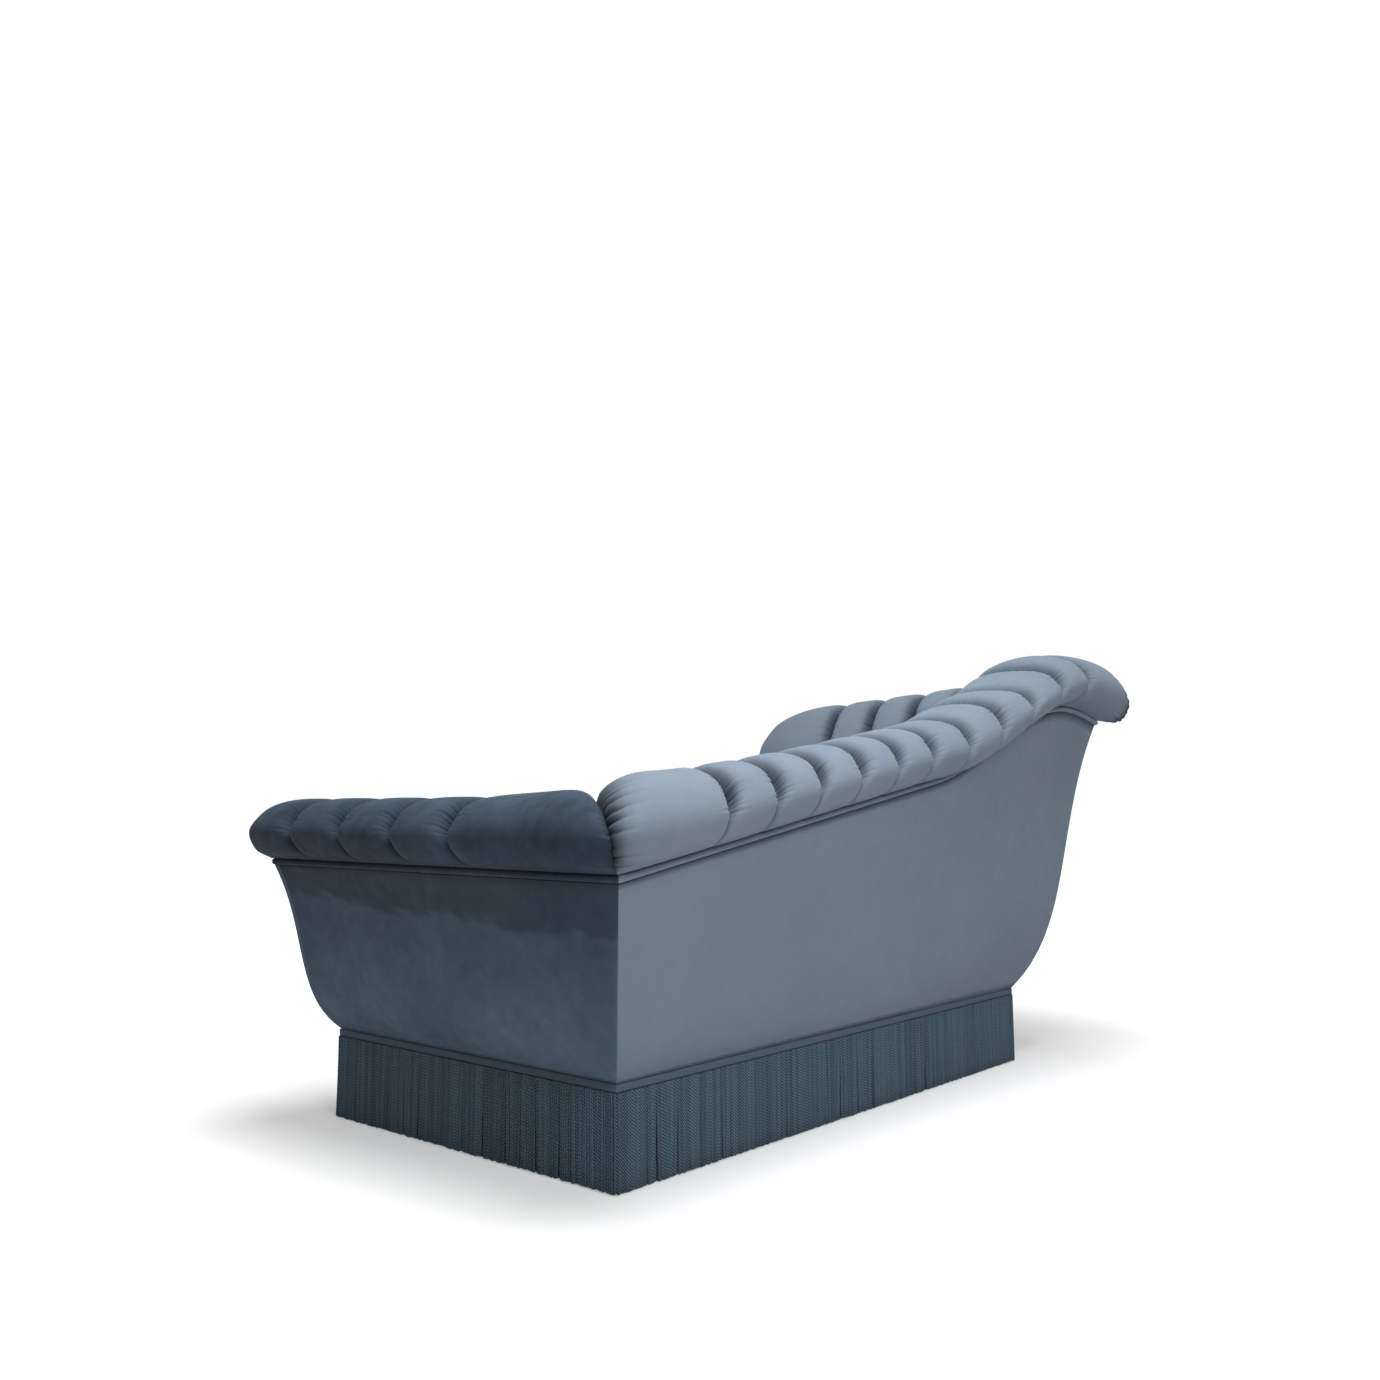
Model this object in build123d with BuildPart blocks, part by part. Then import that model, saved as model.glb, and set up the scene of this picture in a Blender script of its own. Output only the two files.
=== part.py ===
# Chaise longue with flared walls, a fluted roll on three sides and a bullion fringe.
# Millimetres, +Z up, origin on the floor under the middle of the whole object.
# The foot end is at +X, the high head end at -X, the back at +Y and the open front at -Y.

import math
import os

from build123d import *

os.makedirs("parts", exist_ok=True)

# Base and overall form
BASE_LENGTH = 1290.0
BASE_DEPTH = 715.0
BODY_BOTTOM = 165.0
FLARE = 138.0
FRONT_PROUD = 4.0

# Piping line: level along the foot end, a ramp and a swell along the back, a fall along the head end
WELT_LOW = 474.0
RAMP_END = 700.0
RAMP_TOP = 618.0
CREST_RUN = 1260.0
WELT_CREST = 784.0
WELT_CORNER = 763.0
WELT_HEAD_FRONT = 714.0
CORNER_SLOPE = -0.22

# Flare of the outside walls: a quick belly at the bottom, a straight middle and a lip at the top
BELLY = 0.55
BELLY_RATE = 5.5
STRAIGHT = 0.20
LIP = 0.25
LIP_POWER = 4
WALL_STEPS = (0, 0.04, 0.09, 0.16, 0.26, 0.4, 0.58, 0.76, 0.9, 1)

# Fluted roll
ROLL_OVERHANG = 56.0
ROLL_BELLY = 61.0
ROLL_RISE = 118.0
ROLL_TOP_INSET = 42.0
ROLL_SHOULDER = 40.0
PAD_THICKNESS = 56.0
SEAM_DEPTH = 20.0
SEAM_DEPTH_OUTSIDE = 5.0
SEAM_GAP = 0.5
HEAD_SWELL = 42.0
FOOT_SWELL = 24.0
SWELL_REACH = 115.0
RAMP_DIP = 24.0
DIP_RUN = 1040.0
DIP_REACH = 110.0
FIRST_FLUTE = 52.0
LOW_FLUTE = 114.0
LOW_FLUTES = 5
HIGH_FLUTES = 5
CORNER_INSIDE = 36.0
FOOT_FLUTE = 139.0
FOOT_FRONT_FLUTE = 120.0
FOOT_SEAMS = 4
HEAD_FLUTE = 115.0
HEAD_FRONT_FLUTE = 225.0
HEAD_SEAMS = 4
ROLL_END_SINK = 44.0

# Timber frame
HEADER_SEAT = 4.0
FRONT_RECESS = 16.0
SEAT_RAIL = 25.0
RAIL_BOTTOM = 100.0
RAIL_TOP = 340.0
TOP_RAIL_WIDTH = 82.0
TOP_RAIL_HEIGHT = 55.0
TOP_RAIL_INSET = 17.5
TOP_RAIL_RISE = 43.0
RIB_THICKNESS = 22.0
RIB_SEAT = 11.0
RIB_END_RUN = 60.0
BACK_RIBS = 7
END_RIBS = 3
OUTER_PANEL = 6.0
INNER_PANEL = 4.0
CROSS_RAIL_WIDTH = 30.0
CROSS_RAIL_HEIGHT = 60.0
CROSS_RAIL_DROP = 18.0
CROSS_RAIL_PLACE = 215.0
BLOCK_LEG = 110.0
BLOCK_HEIGHT = 65.0
MIDDLE_BLOCK_LENGTH = 90.0
MIDDLE_BLOCK_WIDTH = 45.0

# Feet
FOOT_TOP = 62.0
FOOT_BOTTOM = 46.0
GLIDE_RADIUS = 16.0
GLIDE_HEIGHT = 6.0
BOLT_RADIUS = 4.0
BOLT_INSIDE = 12.0
BOLT_RISE = 58.0
BOLT_DEPTH = 38.0
BOLT_CLEARANCE = 0.1

# Seat
SEAT_WALL = 80.0
SEAT_EDGE = 428.0
SEAT_CROWN = 446.0
SEAT_END_CROWN = 434.0
SEAT_NOSE = 34.0
SEAT_COVER = 4.0
STRAP_WIDTH = 50.0
STRAP_THICKNESS = 2.5
STRAP_HOLD = 10.0
STRAPS_ACROSS = 9
STRAPS_ALONG = 4

# Covers, trim, fringe and dust cover
COVER = 3.0
PIPING_RADIUS = 6.0
FACING = 15.0
BORDER = 17.0
BORDER_EDGE = 5.0
HEADER_HEIGHT = 13.0
HEADER_PROUD = 1.0
FRINGE_FLOOR_GAP = 4.0
FRINGE_PROUD = 3.5
STRAND_PITCH = 10.0
STRAND_GAP = 1.6
FRINGE_SLICE = 6.0
DUST_COVER = 1.5
DUST_INSET = 6.0
DUST_NOTCH = 3.0

# Clearances
CLEARANCE = 0.3
SOFT_CLEARANCE = 0.9
PIPING_CLEARANCE = 1.2

# Values worked out from the above
ROLL_OUT = FLARE + ROLL_OVERHANG
BASE_SHIFT = (FRONT_PROUD - ROLL_OUT) / 2
BACK_Y = BASE_DEPTH / 2 + BASE_SHIFT
FRONT_Y = BACK_Y - BASE_DEPTH
HALF_LENGTH = BASE_LENGTH / 2
RAIL_FACE = -HEADER_SEAT
FRONT_RAIL_FACE = FRONT_Y + HEADER_SEAT + FRONT_RECESS
TUCK_HEIGHT = RAIL_TOP + 2 * STRAP_THICKNESS + 2 * CLEARANCE
PIPING_SPACE = 2 * PIPING_RADIUS + 2 * PIPING_CLEARANCE
WALL_END_RUN = BASE_DEPTH - HEADER_SEAT - FRONT_RECESS
UP = Vector(0, 0, 1)

# Each wall: its base corner, the direction it runs in and the direction it faces
WALLS = {
    "back": (Vector(HALF_LENGTH, BACK_Y), Vector(-1, 0), Vector(0, 1)),
    "foot": (Vector(HALF_LENGTH, BACK_Y), Vector(0, -1), Vector(1, 0)),
    "head": (Vector(-HALF_LENGTH, BACK_Y), Vector(0, -1), Vector(-1, 0)),
}


def spaced(first, last, count):
    return [first + i * (last - first) / (count - 1) for i in range(count)]


def smooth_step(x, x0, z0, slope0, x1, z1, slope1):
    """Cubic from (x0, z0) to (x1, z1) with the given slopes at its ends."""
    span = x1 - x0
    t = (x - x0) / span
    start = (1 + 2 * t) * (1 - t) ** 2 * z0 + t * (1 - t) ** 2 * span * slope0
    end = t * t * (3 - 2 * t) * z1 + t * t * (t - 1) * span * slope1
    return start + end


def welt_height(wall, run):
    """Height of the piping line; run is measured from the wall's base corner."""
    if wall == "foot":
        return WELT_LOW
    if wall == "head":
        fall = (WELT_HEAD_FRONT - WELT_CORNER) / (BASE_DEPTH + FLARE)
        return WELT_CORNER + fall * (run + FLARE)
    ramp = (RAMP_TOP - WELT_LOW) / (RAMP_END + FLARE)
    if run < RAMP_END:
        return WELT_LOW + ramp * (run + FLARE)
    if run < CREST_RUN:
        return smooth_step(run, RAMP_END, RAMP_TOP, ramp, CREST_RUN, WELT_CREST, 0)
    corner = BASE_LENGTH + FLARE
    return smooth_step(run, CREST_RUN, WELT_CREST, 0, corner, WELT_CORNER, CORNER_SLOPE)


def roll_rise(wall, run):
    """Height of the roll above the piping line: swollen towards the corners, thinner on the steep ramp."""
    near = math.exp(-(run + FLARE) / SWELL_REACH)
    far = math.exp(-(BASE_LENGTH + FLARE - run) / SWELL_REACH)
    if wall == "back":
        dip = RAMP_DIP * math.exp(-(((run - DIP_RUN) / DIP_REACH) ** 2))
        return ROLL_RISE + FOOT_SWELL * near + HEAD_SWELL * far - dip
    return ROLL_RISE + (FOOT_SWELL if wall == "foot" else HEAD_SWELL) * near


def flare_share(t):
    """Share of the flare reached at the share t of the wall's height."""
    full = BELLY * (1 - math.exp(-BELLY_RATE)) + STRAIGHT + LIP
    return (BELLY * (1 - math.exp(-BELLY_RATE * t)) + STRAIGHT * t + LIP * t**LIP_POWER) / full


def wall_point(t, inset, welt):
    """Point on the outside of a wall at the share t of its height, moved in by inset."""
    return (FLARE * flare_share(t) - inset, BODY_BOTTOM + t * (welt - BODY_BOTTOM))


def inside_line(z, welt, inset=0.0):
    """Distance out of the face that the inside padding lies on, at height z."""
    low = RAIL_FACE - RIB_SEAT - INNER_PANEL - 2 * CLEARANCE
    high = FLARE - TOP_RAIL_INSET - TOP_RAIL_WIDTH - INNER_PANEL - 2 * CLEARANCE
    top = welt + TOP_RAIL_RISE
    return low + (high - low) * (z - TUCK_HEIGHT) / (top - TUCK_HEIGHT) + inset


# Seams, as (start, skew): a cut through the wall along run = start + skew * distance out.
# The mitres in the two back corners have a skew of one, and the back's seams fan out between them.
HIGH_FLUTE = (BASE_LENGTH - FIRST_FLUTE - LOW_FLUTES * LOW_FLUTE) / HIGH_FLUTES
RISE_RUN = FIRST_FLUTE + LOW_FLUTES * LOW_FLUTE
BACK_SEAMS = LOW_FLUTES + HIGH_FLUTES + 1
outer_runs = [FIRST_FLUTE + i * LOW_FLUTE for i in range(LOW_FLUTES)]
outer_runs += [RISE_RUN + i * HIGH_FLUTE for i in range(HIGH_FLUTES + 1)]
inner_margin = SEAT_WALL + CORNER_INSIDE
inner_runs = spaced(inner_margin, BASE_LENGTH - inner_margin, BACK_SEAMS)


def fanned_seam(outer, inner):
    skew = (outer - inner) / (ROLL_OUT + SEAT_WALL)
    return (outer - skew * ROLL_OUT, skew)


def end_seams(count, pitch, front):
    """Mitre and square seams of an end wall, counted from the back corner."""
    return [(0, -1)] + [(BASE_DEPTH - front - i * pitch, 0) for i in reversed(range(count))]


seams = {
    "back": [(0, -1), *map(fanned_seam, outer_runs, inner_runs), (BASE_LENGTH, 1)],
    "foot": end_seams(FOOT_SEAMS, FOOT_FLUTE, FOOT_FRONT_FLUTE),
    "head": end_seams(HEAD_SEAMS, HEAD_FLUTE, HEAD_FRONT_FLUTE),
}


def between(first, last):
    """The cut halfway between two seams."""
    return tuple((a + b) / 2 for a, b in zip(first, last))


def wall_cuts(wall):
    """Cuts for the long pieces of a wall, a little off the mitres; the end walls are straight."""
    first, second = seams[wall][:2]
    cuts = [(first[0] + SEAM_GAP / 2, first[1])]
    if wall != "back":
        return [*cuts, second, (WALL_END_RUN, 0)]
    for first, last in zip(seams[wall], seams[wall][1:]):
        cuts += [between(first, last), last]
    return cuts[:-1] + [(last[0] - SEAM_GAP / 2, last[1])]


def cut_run(cut):
    """Run at which a cut crosses the piping line."""
    return cut[0] + cut[1] * FLARE


def local_welt(wall, run, out):
    """Height of the piping line on the cut through a point of the wall, given in plan."""
    for first, last in zip(wall_cuts(wall), wall_cuts(wall)[1:]):
        place = [cut[0] + cut[1] * out for cut in (first, last)]
        if run <= place[1]:
            share = (run - place[0]) / (place[1] - place[0])
            heights = [welt_height(wall, cut_run(cut)) for cut in (first, last)]
            return heights[0] + share * (heights[1] - heights[0])
    return welt_height(wall, run)


def cut_plane(wall, start, skew):
    """Upright plane of a cut, with its first axis pointing out of the wall."""
    corner, along, out = WALLS[wall]
    line = out + along * skew
    return Plane(corner + along * start, x_dir=line, z_dir=line.cross(UP))


def in_cut(points, skew):
    """Points given as distance out and height, as they lie in the plane of a skewed cut."""
    return [(d * math.hypot(1, skew), z) for d, z in points]


def draw_flute(welt, rise, sink, outer_sink, skew):
    """J-shaped outline of a flute: roll outside, roll top, shoulder, inside face and frame side."""
    hem_z = welt + PIPING_SPACE
    hem = (FLARE, hem_z)
    overhang = ROLL_OVERHANG - outer_sink
    belly_z = welt + ROLL_BELLY
    belly = (FLARE + overhang, belly_z)
    under = (FLARE + 0.68 * overhang, hem_z + 0.34 * (belly_z - hem_z))
    crown = (FLARE - ROLL_TOP_INSET, welt + rise - sink)
    outer = (FLARE + 0.57 * overhang, belly_z + 0.6 * (crown[1] - belly_z))
    shoulder_z = welt + ROLL_SHOULDER
    shoulder = (inside_line(shoulder_z, welt) - PAD_THICKNESS + sink, shoulder_z)
    inner = (crown[0] + 0.68 * (shoulder[0] - crown[0]), shoulder_z + 0.74 * (crown[1] - shoulder_z))
    toe_out = -SEAT_WALL + sink / 2
    top = welt + TOP_RAIL_RISE + SOFT_CLEARANCE
    rail_out = FLARE - TOP_RAIL_INSET + SOFT_CLEARANCE
    ThreePointArc(*in_cut([hem, under, belly], skew))
    ThreePointArc(*in_cut([belly, outer, crown], skew))
    ThreePointArc(*in_cut([crown, inner, shoulder], skew))
    straight = [
        shoulder,
        (toe_out, SEAT_EDGE),
        (toe_out, TUCK_HEIGHT),
        (inside_line(TUCK_HEIGHT, welt), TUCK_HEIGHT),
        (inside_line(top, welt), top),
        (rail_out, top),
        (rail_out, hem_z),
        hem,
    ]
    Polyline(*in_cut(straight, skew))


def loft_flute(wall, cuts):
    """One flute through its cuts, each given as (start, skew, sink, sink on the outside)."""
    outlines = []
    for start, skew, sink, outer_sink in cuts:
        run = cut_run((start, skew))
        with BuildSketch(cut_plane(wall, start, skew)) as outline:
            with BuildLine():
                draw_flute(welt_height(wall, run), roll_rise(wall, run), sink, outer_sink, skew)
            make_face()
        outlines.append(outline.sketch)
    loft(outlines)


def flute_between(wall, first, last):
    """A flute from one seam to the next: seam, full middle, seam."""
    start = (first[0] + SEAM_GAP / 2, first[1], SEAM_DEPTH, SEAM_DEPTH_OUTSIDE)
    end = (last[0] - SEAM_GAP / 2, last[1], SEAM_DEPTH, SEAM_DEPTH_OUTSIDE)
    loft_flute(wall, [start, (*between(first, last), 0, 0), end])


def end_flute(wall):
    """The last flute of an end wall, rounded off at the front."""
    seam = seams[wall][-1][0]
    width = BASE_DEPTH - seam
    easing = 0.25 * ROLL_END_SINK
    loft_flute(
        wall,
        [
            (seam + SEAM_GAP / 2, 0, SEAM_DEPTH, SEAM_DEPTH_OUTSIDE),
            (seam + 0.4 * width, 0, 0, 0),
            (seam + 0.75 * width, 0, easing, easing),
            (BASE_DEPTH, 0, ROLL_END_SINK, ROLL_END_SINK),
        ],
    )


# Fluted roll and inside padding
for wall in WALLS:
    with BuildPart() as flutes:
        for first, last in zip(seams[wall], seams[wall][1:]):
            flute_between(wall, first, last)
        if wall != "back":
            end_flute(wall)
    flutes.part.label = f"{wall}_flutes"
    export_step(flutes.part, f"parts/{wall}_flutes.step")


def loft_wall(wall, draw, straight):
    """A long piece of a wall through its cuts, straight between them for timber and the end walls."""
    outlines = []
    for start, skew in wall_cuts(wall):
        with BuildSketch(cut_plane(wall, start, skew)) as outline:
            with BuildLine():
                draw(welt_height(wall, cut_run((start, skew))), skew)
            make_face()
        outlines.append(outline.sketch)
    loft(outlines, ruled=straight or wall != "back")


def draw_shell(inset, thickness, steps):
    """Outline of a curved sheet up the outside of a wall."""

    def draw(welt, skew):
        outer = in_cut([wall_point(t, inset, welt) for t in steps], skew)
        inner = in_cut([wall_point(t, inset + thickness, welt) for t in steps], skew)
        Spline(*outer)
        Line(outer[-1], inner[-1])
        Spline(*reversed(inner))
        Line(inner[0], outer[0])

    return draw


def draw_inner_sheet(welt, skew):
    """Outline of the raking sheet that the inside padding lies on."""
    top = welt + TOP_RAIL_RISE
    face = [(inside_line(z, welt, CLEARANCE), z) for z in (TUCK_HEIGHT, top)]
    rear = [(inside_line(z, welt, CLEARANCE + INNER_PANEL), z) for z in (top, TUCK_HEIGHT)]
    Polyline(*in_cut(face + rear, skew), close=True)


def draw_top_rail(welt, skew):
    """Outline of the rail along the top of the ribs, inside the roll."""
    outside = FLARE - TOP_RAIL_INSET
    inside = outside - TOP_RAIL_WIDTH
    top = welt + TOP_RAIL_RISE
    bottom = top - TOP_RAIL_HEIGHT
    corners = [(inside, bottom), (outside, bottom), (outside, top), (inside, top)]
    Polyline(*in_cut(corners, skew), close=True)


def draw_piping(welt, skew):
    """Round outline in the groove between the roll and the outside cover."""
    middle = welt + PIPING_CLEARANCE + PIPING_RADIUS
    angles = [i * math.pi / 4 for i in range(9)]
    ring = [(FLARE + PIPING_RADIUS * math.cos(a), middle + PIPING_RADIUS * math.sin(a)) for a in angles]
    ring = in_cut(ring, skew)
    for i in range(0, 8, 2):
        ThreePointArc(ring[i], ring[i + 1], ring[i + 2])


# Outside covers, plywood behind them, inside panels, top rails and piping
panel_steps = WALL_STEPS[2:]
wall_pieces = {
    "outside_cover": (draw_shell(0, COVER, WALL_STEPS), False),
    "outer_panel": (draw_shell(COVER + SOFT_CLEARANCE, OUTER_PANEL, panel_steps), False),
    "inner_panel": (draw_inner_sheet, True),
    "top_rail": (draw_top_rail, True),
    "piping": (draw_piping, False),
}
for wall in WALLS:
    for name, (draw, straight) in wall_pieces.items():
        with BuildPart() as wall_piece:
            loft_wall(wall, draw, straight)
        wall_piece.part.label = f"{wall}_{name}"
        export_step(wall_piece.part, f"parts/{wall}_{name}.step")


# Curved ribs that straddle the seat rails and carry the top rails
def rib_outline(wall, run):
    """One face of a rib, square across the wall at the given run."""
    inset = COVER + SOFT_CLEARANCE + OUTER_PANEL + SOFT_CLEARANCE
    behind = INNER_PANEL + 2 * CLEARANCE
    under_rail = TOP_RAIL_RISE - TOP_RAIL_HEIGHT - CLEARANCE
    lip_welt = local_welt(wall, run, FLARE - inset)
    lip_share = 1 + under_rail / (lip_welt - BODY_BOTTOM)
    outside = []
    for t in [t for t in WALL_STEPS[3:] if t < lip_share] + [lip_share]:
        out = wall_point(t, inset, lip_welt)[0]
        outside.append(wall_point(t, inset, local_welt(wall, run, out)))
    rail_inside = FLARE - TOP_RAIL_INSET - TOP_RAIL_WIDTH
    rail_middle = rail_inside + TOP_RAIL_WIDTH / 2
    top = local_welt(wall, run, rail_inside) + under_rail
    inside = []
    for z in spaced(top, TUCK_HEIGHT, 3):
        out = rail_inside
        for _ in range(4):
            out = inside_line(z, local_welt(wall, run, out), behind)
        inside.append((out, z))
    with BuildSketch(cut_plane(wall, run, 0)) as outline:
        with BuildLine():
            Spline(*outside)
            Polyline(
                outside[-1],
                (rail_middle, local_welt(wall, run, rail_middle) + under_rail),
                (rail_inside, top),
                *inside,
                (RAIL_FACE - RIB_SEAT, RAIL_TOP),
                (RAIL_FACE, RAIL_TOP),
                (RAIL_FACE, outside[0][1]),
                outside[0],
            )
        make_face()
    return outline.sketch


rib_runs = {
    "back": spaced(RIB_END_RUN, BASE_LENGTH - RIB_END_RUN, BACK_RIBS),
    "foot": spaced(RIB_END_RUN, WALL_END_RUN - RIB_THICKNESS / 2, END_RIBS),
    "head": spaced(RIB_END_RUN, WALL_END_RUN - RIB_THICKNESS / 2, END_RIBS),
}
for wall in WALLS:
    with BuildPart() as ribs:
        for run in rib_runs[wall]:
            faces = [rib_outline(wall, run + side * RIB_THICKNESS / 2) for side in (-1, 1)]
            loft(faces, ruled=True)
    ribs.part.label = f"{wall}_ribs"
    export_step(ribs.part, f"parts/{wall}_ribs.step")

# Seat frame: long rails at front and back, short ones between them, and a batten for the front fringe
BASE_PLANE = Plane((0, BASE_SHIFT, 0))
ROOM_MIDDLE = BASE_SHIFT + FRONT_RECESS / 2
ROOM_PLANE = Plane((0, ROOM_MIDDLE, 0))
RAIL_HEIGHT = RAIL_TOP - RAIL_BOTTOM
LONG_RAIL = BASE_LENGTH - 2 * HEADER_SEAT
ROOM_X = LONG_RAIL - 2 * SEAT_RAIL
ROOM_Y = BASE_DEPTH - 2 * HEADER_SEAT - FRONT_RECESS - 2 * SEAT_RAIL
RAIL_ROW = (ROOM_Y + SEAT_RAIL) / 2
RAIL_COLUMN = (ROOM_X + SEAT_RAIL) / 2
seat_rails = {
    "back_seat_rail": (LONG_RAIL, SEAT_RAIL, 0, RAIL_ROW),
    "front_seat_rail": (LONG_RAIL, SEAT_RAIL, 0, -RAIL_ROW),
    "foot_seat_rail": (SEAT_RAIL, ROOM_Y, RAIL_COLUMN, 0),
    "head_seat_rail": (SEAT_RAIL, ROOM_Y, -RAIL_COLUMN, 0),
}
for name, (length, width, x, y) in seat_rails.items():
    with BuildPart() as seat_rail:
        with BuildSketch(ROOM_PLANE.offset(RAIL_BOTTOM)):
            with Locations((x, y)):
                Rectangle(length, width)
        extrude(amount=RAIL_HEIGHT)
    seat_rail.part.label = name
    export_step(seat_rail.part, f"parts/{name}.step")

with BuildPart() as front_batten:
    with BuildSketch(Plane.XZ.offset(-FRONT_RAIL_FACE)):
        with Locations((0, (RAIL_BOTTOM + BODY_BOTTOM - CLEARANCE) / 2)):
            Rectangle(LONG_RAIL, BODY_BOTTOM - CLEARANCE - RAIL_BOTTOM)
    extrude(amount=FRONT_RECESS)
front_batten.part.label = "front_batten"
export_step(front_batten.part, "parts/front_batten.step")

with BuildPart() as cross_rails:
    with BuildSketch(ROOM_PLANE.offset(RAIL_TOP - CROSS_RAIL_DROP - CROSS_RAIL_HEIGHT)):
        with GridLocations(2 * CROSS_RAIL_PLACE, 1, 2, 1):
            Rectangle(CROSS_RAIL_WIDTH, ROOM_Y)
    extrude(amount=CROSS_RAIL_HEIGHT)
cross_rails.part.label = "cross_rails"
export_step(cross_rails.part, "parts/cross_rails.step")

# Feet under the rails, with their blocks, bolts and glides
FOOT_COLUMN = ROOM_X / 2 - BOLT_INSIDE
FOOT_ROW = ROOM_Y / 2 - BOLT_INSIDE
BOLT_BOTTOM = RAIL_BOTTOM - BOLT_DEPTH
foot_places = [(x, y) for x in (-FOOT_COLUMN, 0, FOOT_COLUMN) for y in (-FOOT_ROW, FOOT_ROW)]
corner_places = [(x, y) for x, y in foot_places if x]
middle_places = [(x, y) for x, y in foot_places if not x]

with BuildPart() as corner_blocks:
    with BuildSketch(ROOM_PLANE.offset(RAIL_BOTTOM)):
        for x, y in corner_places:
            side = math.copysign(1, x)
            row = math.copysign(1, y)
            corner_x = side * ROOM_X / 2
            corner_y = row * ROOM_Y / 2
            with BuildLine():
                Polyline(
                    (corner_x, corner_y),
                    (corner_x - side * BLOCK_LEG, corner_y),
                    (corner_x, corner_y - row * BLOCK_LEG),
                    close=True,
                )
            make_face()
        with Locations(*corner_places):
            Circle(BOLT_RADIUS + BOLT_CLEARANCE, mode=Mode.SUBTRACT)
    extrude(amount=BLOCK_HEIGHT)
corner_blocks.part.label = "corner_blocks"
export_step(corner_blocks.part, "parts/corner_blocks.step")

with BuildPart() as middle_blocks:
    with BuildSketch(ROOM_PLANE.offset(RAIL_BOTTOM)):
        with GridLocations(1, ROOM_Y - MIDDLE_BLOCK_WIDTH, 1, 2):
            Rectangle(MIDDLE_BLOCK_LENGTH, MIDDLE_BLOCK_WIDTH)
        with Locations(*middle_places):
            Circle(BOLT_RADIUS + BOLT_CLEARANCE, mode=Mode.SUBTRACT)
    extrude(amount=BLOCK_HEIGHT)
middle_blocks.part.label = "middle_blocks"
export_step(middle_blocks.part, "parts/middle_blocks.step")

with BuildPart() as feet:
    for place in foot_places:
        with BuildSketch(ROOM_PLANE.offset(GLIDE_HEIGHT)):
            with Locations(place):
                Rectangle(FOOT_BOTTOM, FOOT_BOTTOM)
        with BuildSketch(ROOM_PLANE.offset(RAIL_BOTTOM)):
            with Locations(place):
                Rectangle(FOOT_TOP, FOOT_TOP)
        loft()
    with BuildSketch(ROOM_PLANE.offset(BOLT_BOTTOM)):
        with Locations(*foot_places):
            Circle(BOLT_RADIUS + BOLT_CLEARANCE)
    extrude(amount=BOLT_DEPTH, mode=Mode.SUBTRACT)
feet.part.label = "feet"
export_step(feet.part, "parts/feet.step")

with BuildPart() as foot_bolts:
    with BuildSketch(ROOM_PLANE.offset(BOLT_BOTTOM)):
        with Locations(*foot_places):
            Circle(BOLT_RADIUS)
    extrude(amount=BOLT_DEPTH + BOLT_RISE)
foot_bolts.part.label = "foot_bolts"
export_step(foot_bolts.part, "parts/foot_bolts.step")

with BuildPart() as glides:
    with BuildSketch(ROOM_PLANE):
        with Locations(*foot_places):
            Circle(GLIDE_RADIUS)
    extrude(amount=GLIDE_HEIGHT)
glides.part.label = "glides"
export_step(glides.part, "parts/glides.step")

# Webbing: straight straps across, straps along that pass over and under them
ACROSS_PITCH = ROOM_X / STRAPS_ACROSS
ALONG_PITCH = ROOM_Y / STRAPS_ALONG

with BuildPart() as webbing_across:
    with BuildSketch(ROOM_PLANE.offset(RAIL_TOP)):
        with GridLocations(ACROSS_PITCH, 1, STRAPS_ACROSS, 1):
            Rectangle(STRAP_WIDTH, ROOM_Y + 2 * STRAP_HOLD)
    extrude(amount=STRAP_THICKNESS)
webbing_across.part.label = "webbing_across"
export_step(webbing_across.part, "parts/webbing_across.step")


def woven_line(first_side):
    """Underside of a strap along the seat, over and under the straps across it."""
    half = ROOM_X / 2
    points = [(-half - STRAP_HOLD, RAIL_TOP), (-half, RAIL_TOP)]
    over = RAIL_TOP + STRAP_THICKNESS + CLEARANCE
    under = RAIL_TOP - STRAP_THICKNESS - CLEARANCE
    for i in range(STRAPS_ACROSS):
        x = -half + (i + 0.5) * ACROSS_PITCH
        level = over if (i + first_side) % 2 else under
        points += [(x - STRAP_WIDTH / 2, level), (x + STRAP_WIDTH / 2, level)]
    return points + [(half, RAIL_TOP), (half + STRAP_HOLD, RAIL_TOP)]


with BuildPart() as webbing_along:
    for i in range(STRAPS_ALONG):
        place = ROOM_MIDDLE + (i + 0.5 - STRAPS_ALONG / 2) * ALONG_PITCH
        lower = woven_line(i % 2)
        upper = [(x, z + STRAP_THICKNESS) for x, z in reversed(lower)]
        with BuildSketch(Plane.XZ.offset(-place - STRAP_WIDTH / 2)):
            with BuildLine():
                Polyline(*lower, *upper, close=True)
            make_face()
        extrude(amount=STRAP_WIDTH)
webbing_along.part.label = "webbing_along"
export_step(webbing_along.part, "parts/webbing_along.step")

# Tight seat: a crowned foam with a rounded front edge, and the cover over it
SEAT_HALF = HALF_LENGTH - SEAT_WALL - SOFT_CLEARANCE
SEAT_BACK = BACK_Y - SEAT_WALL - SOFT_CLEARANCE
SEAT_FRONT = FRONT_Y - FRONT_PROUD


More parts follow.
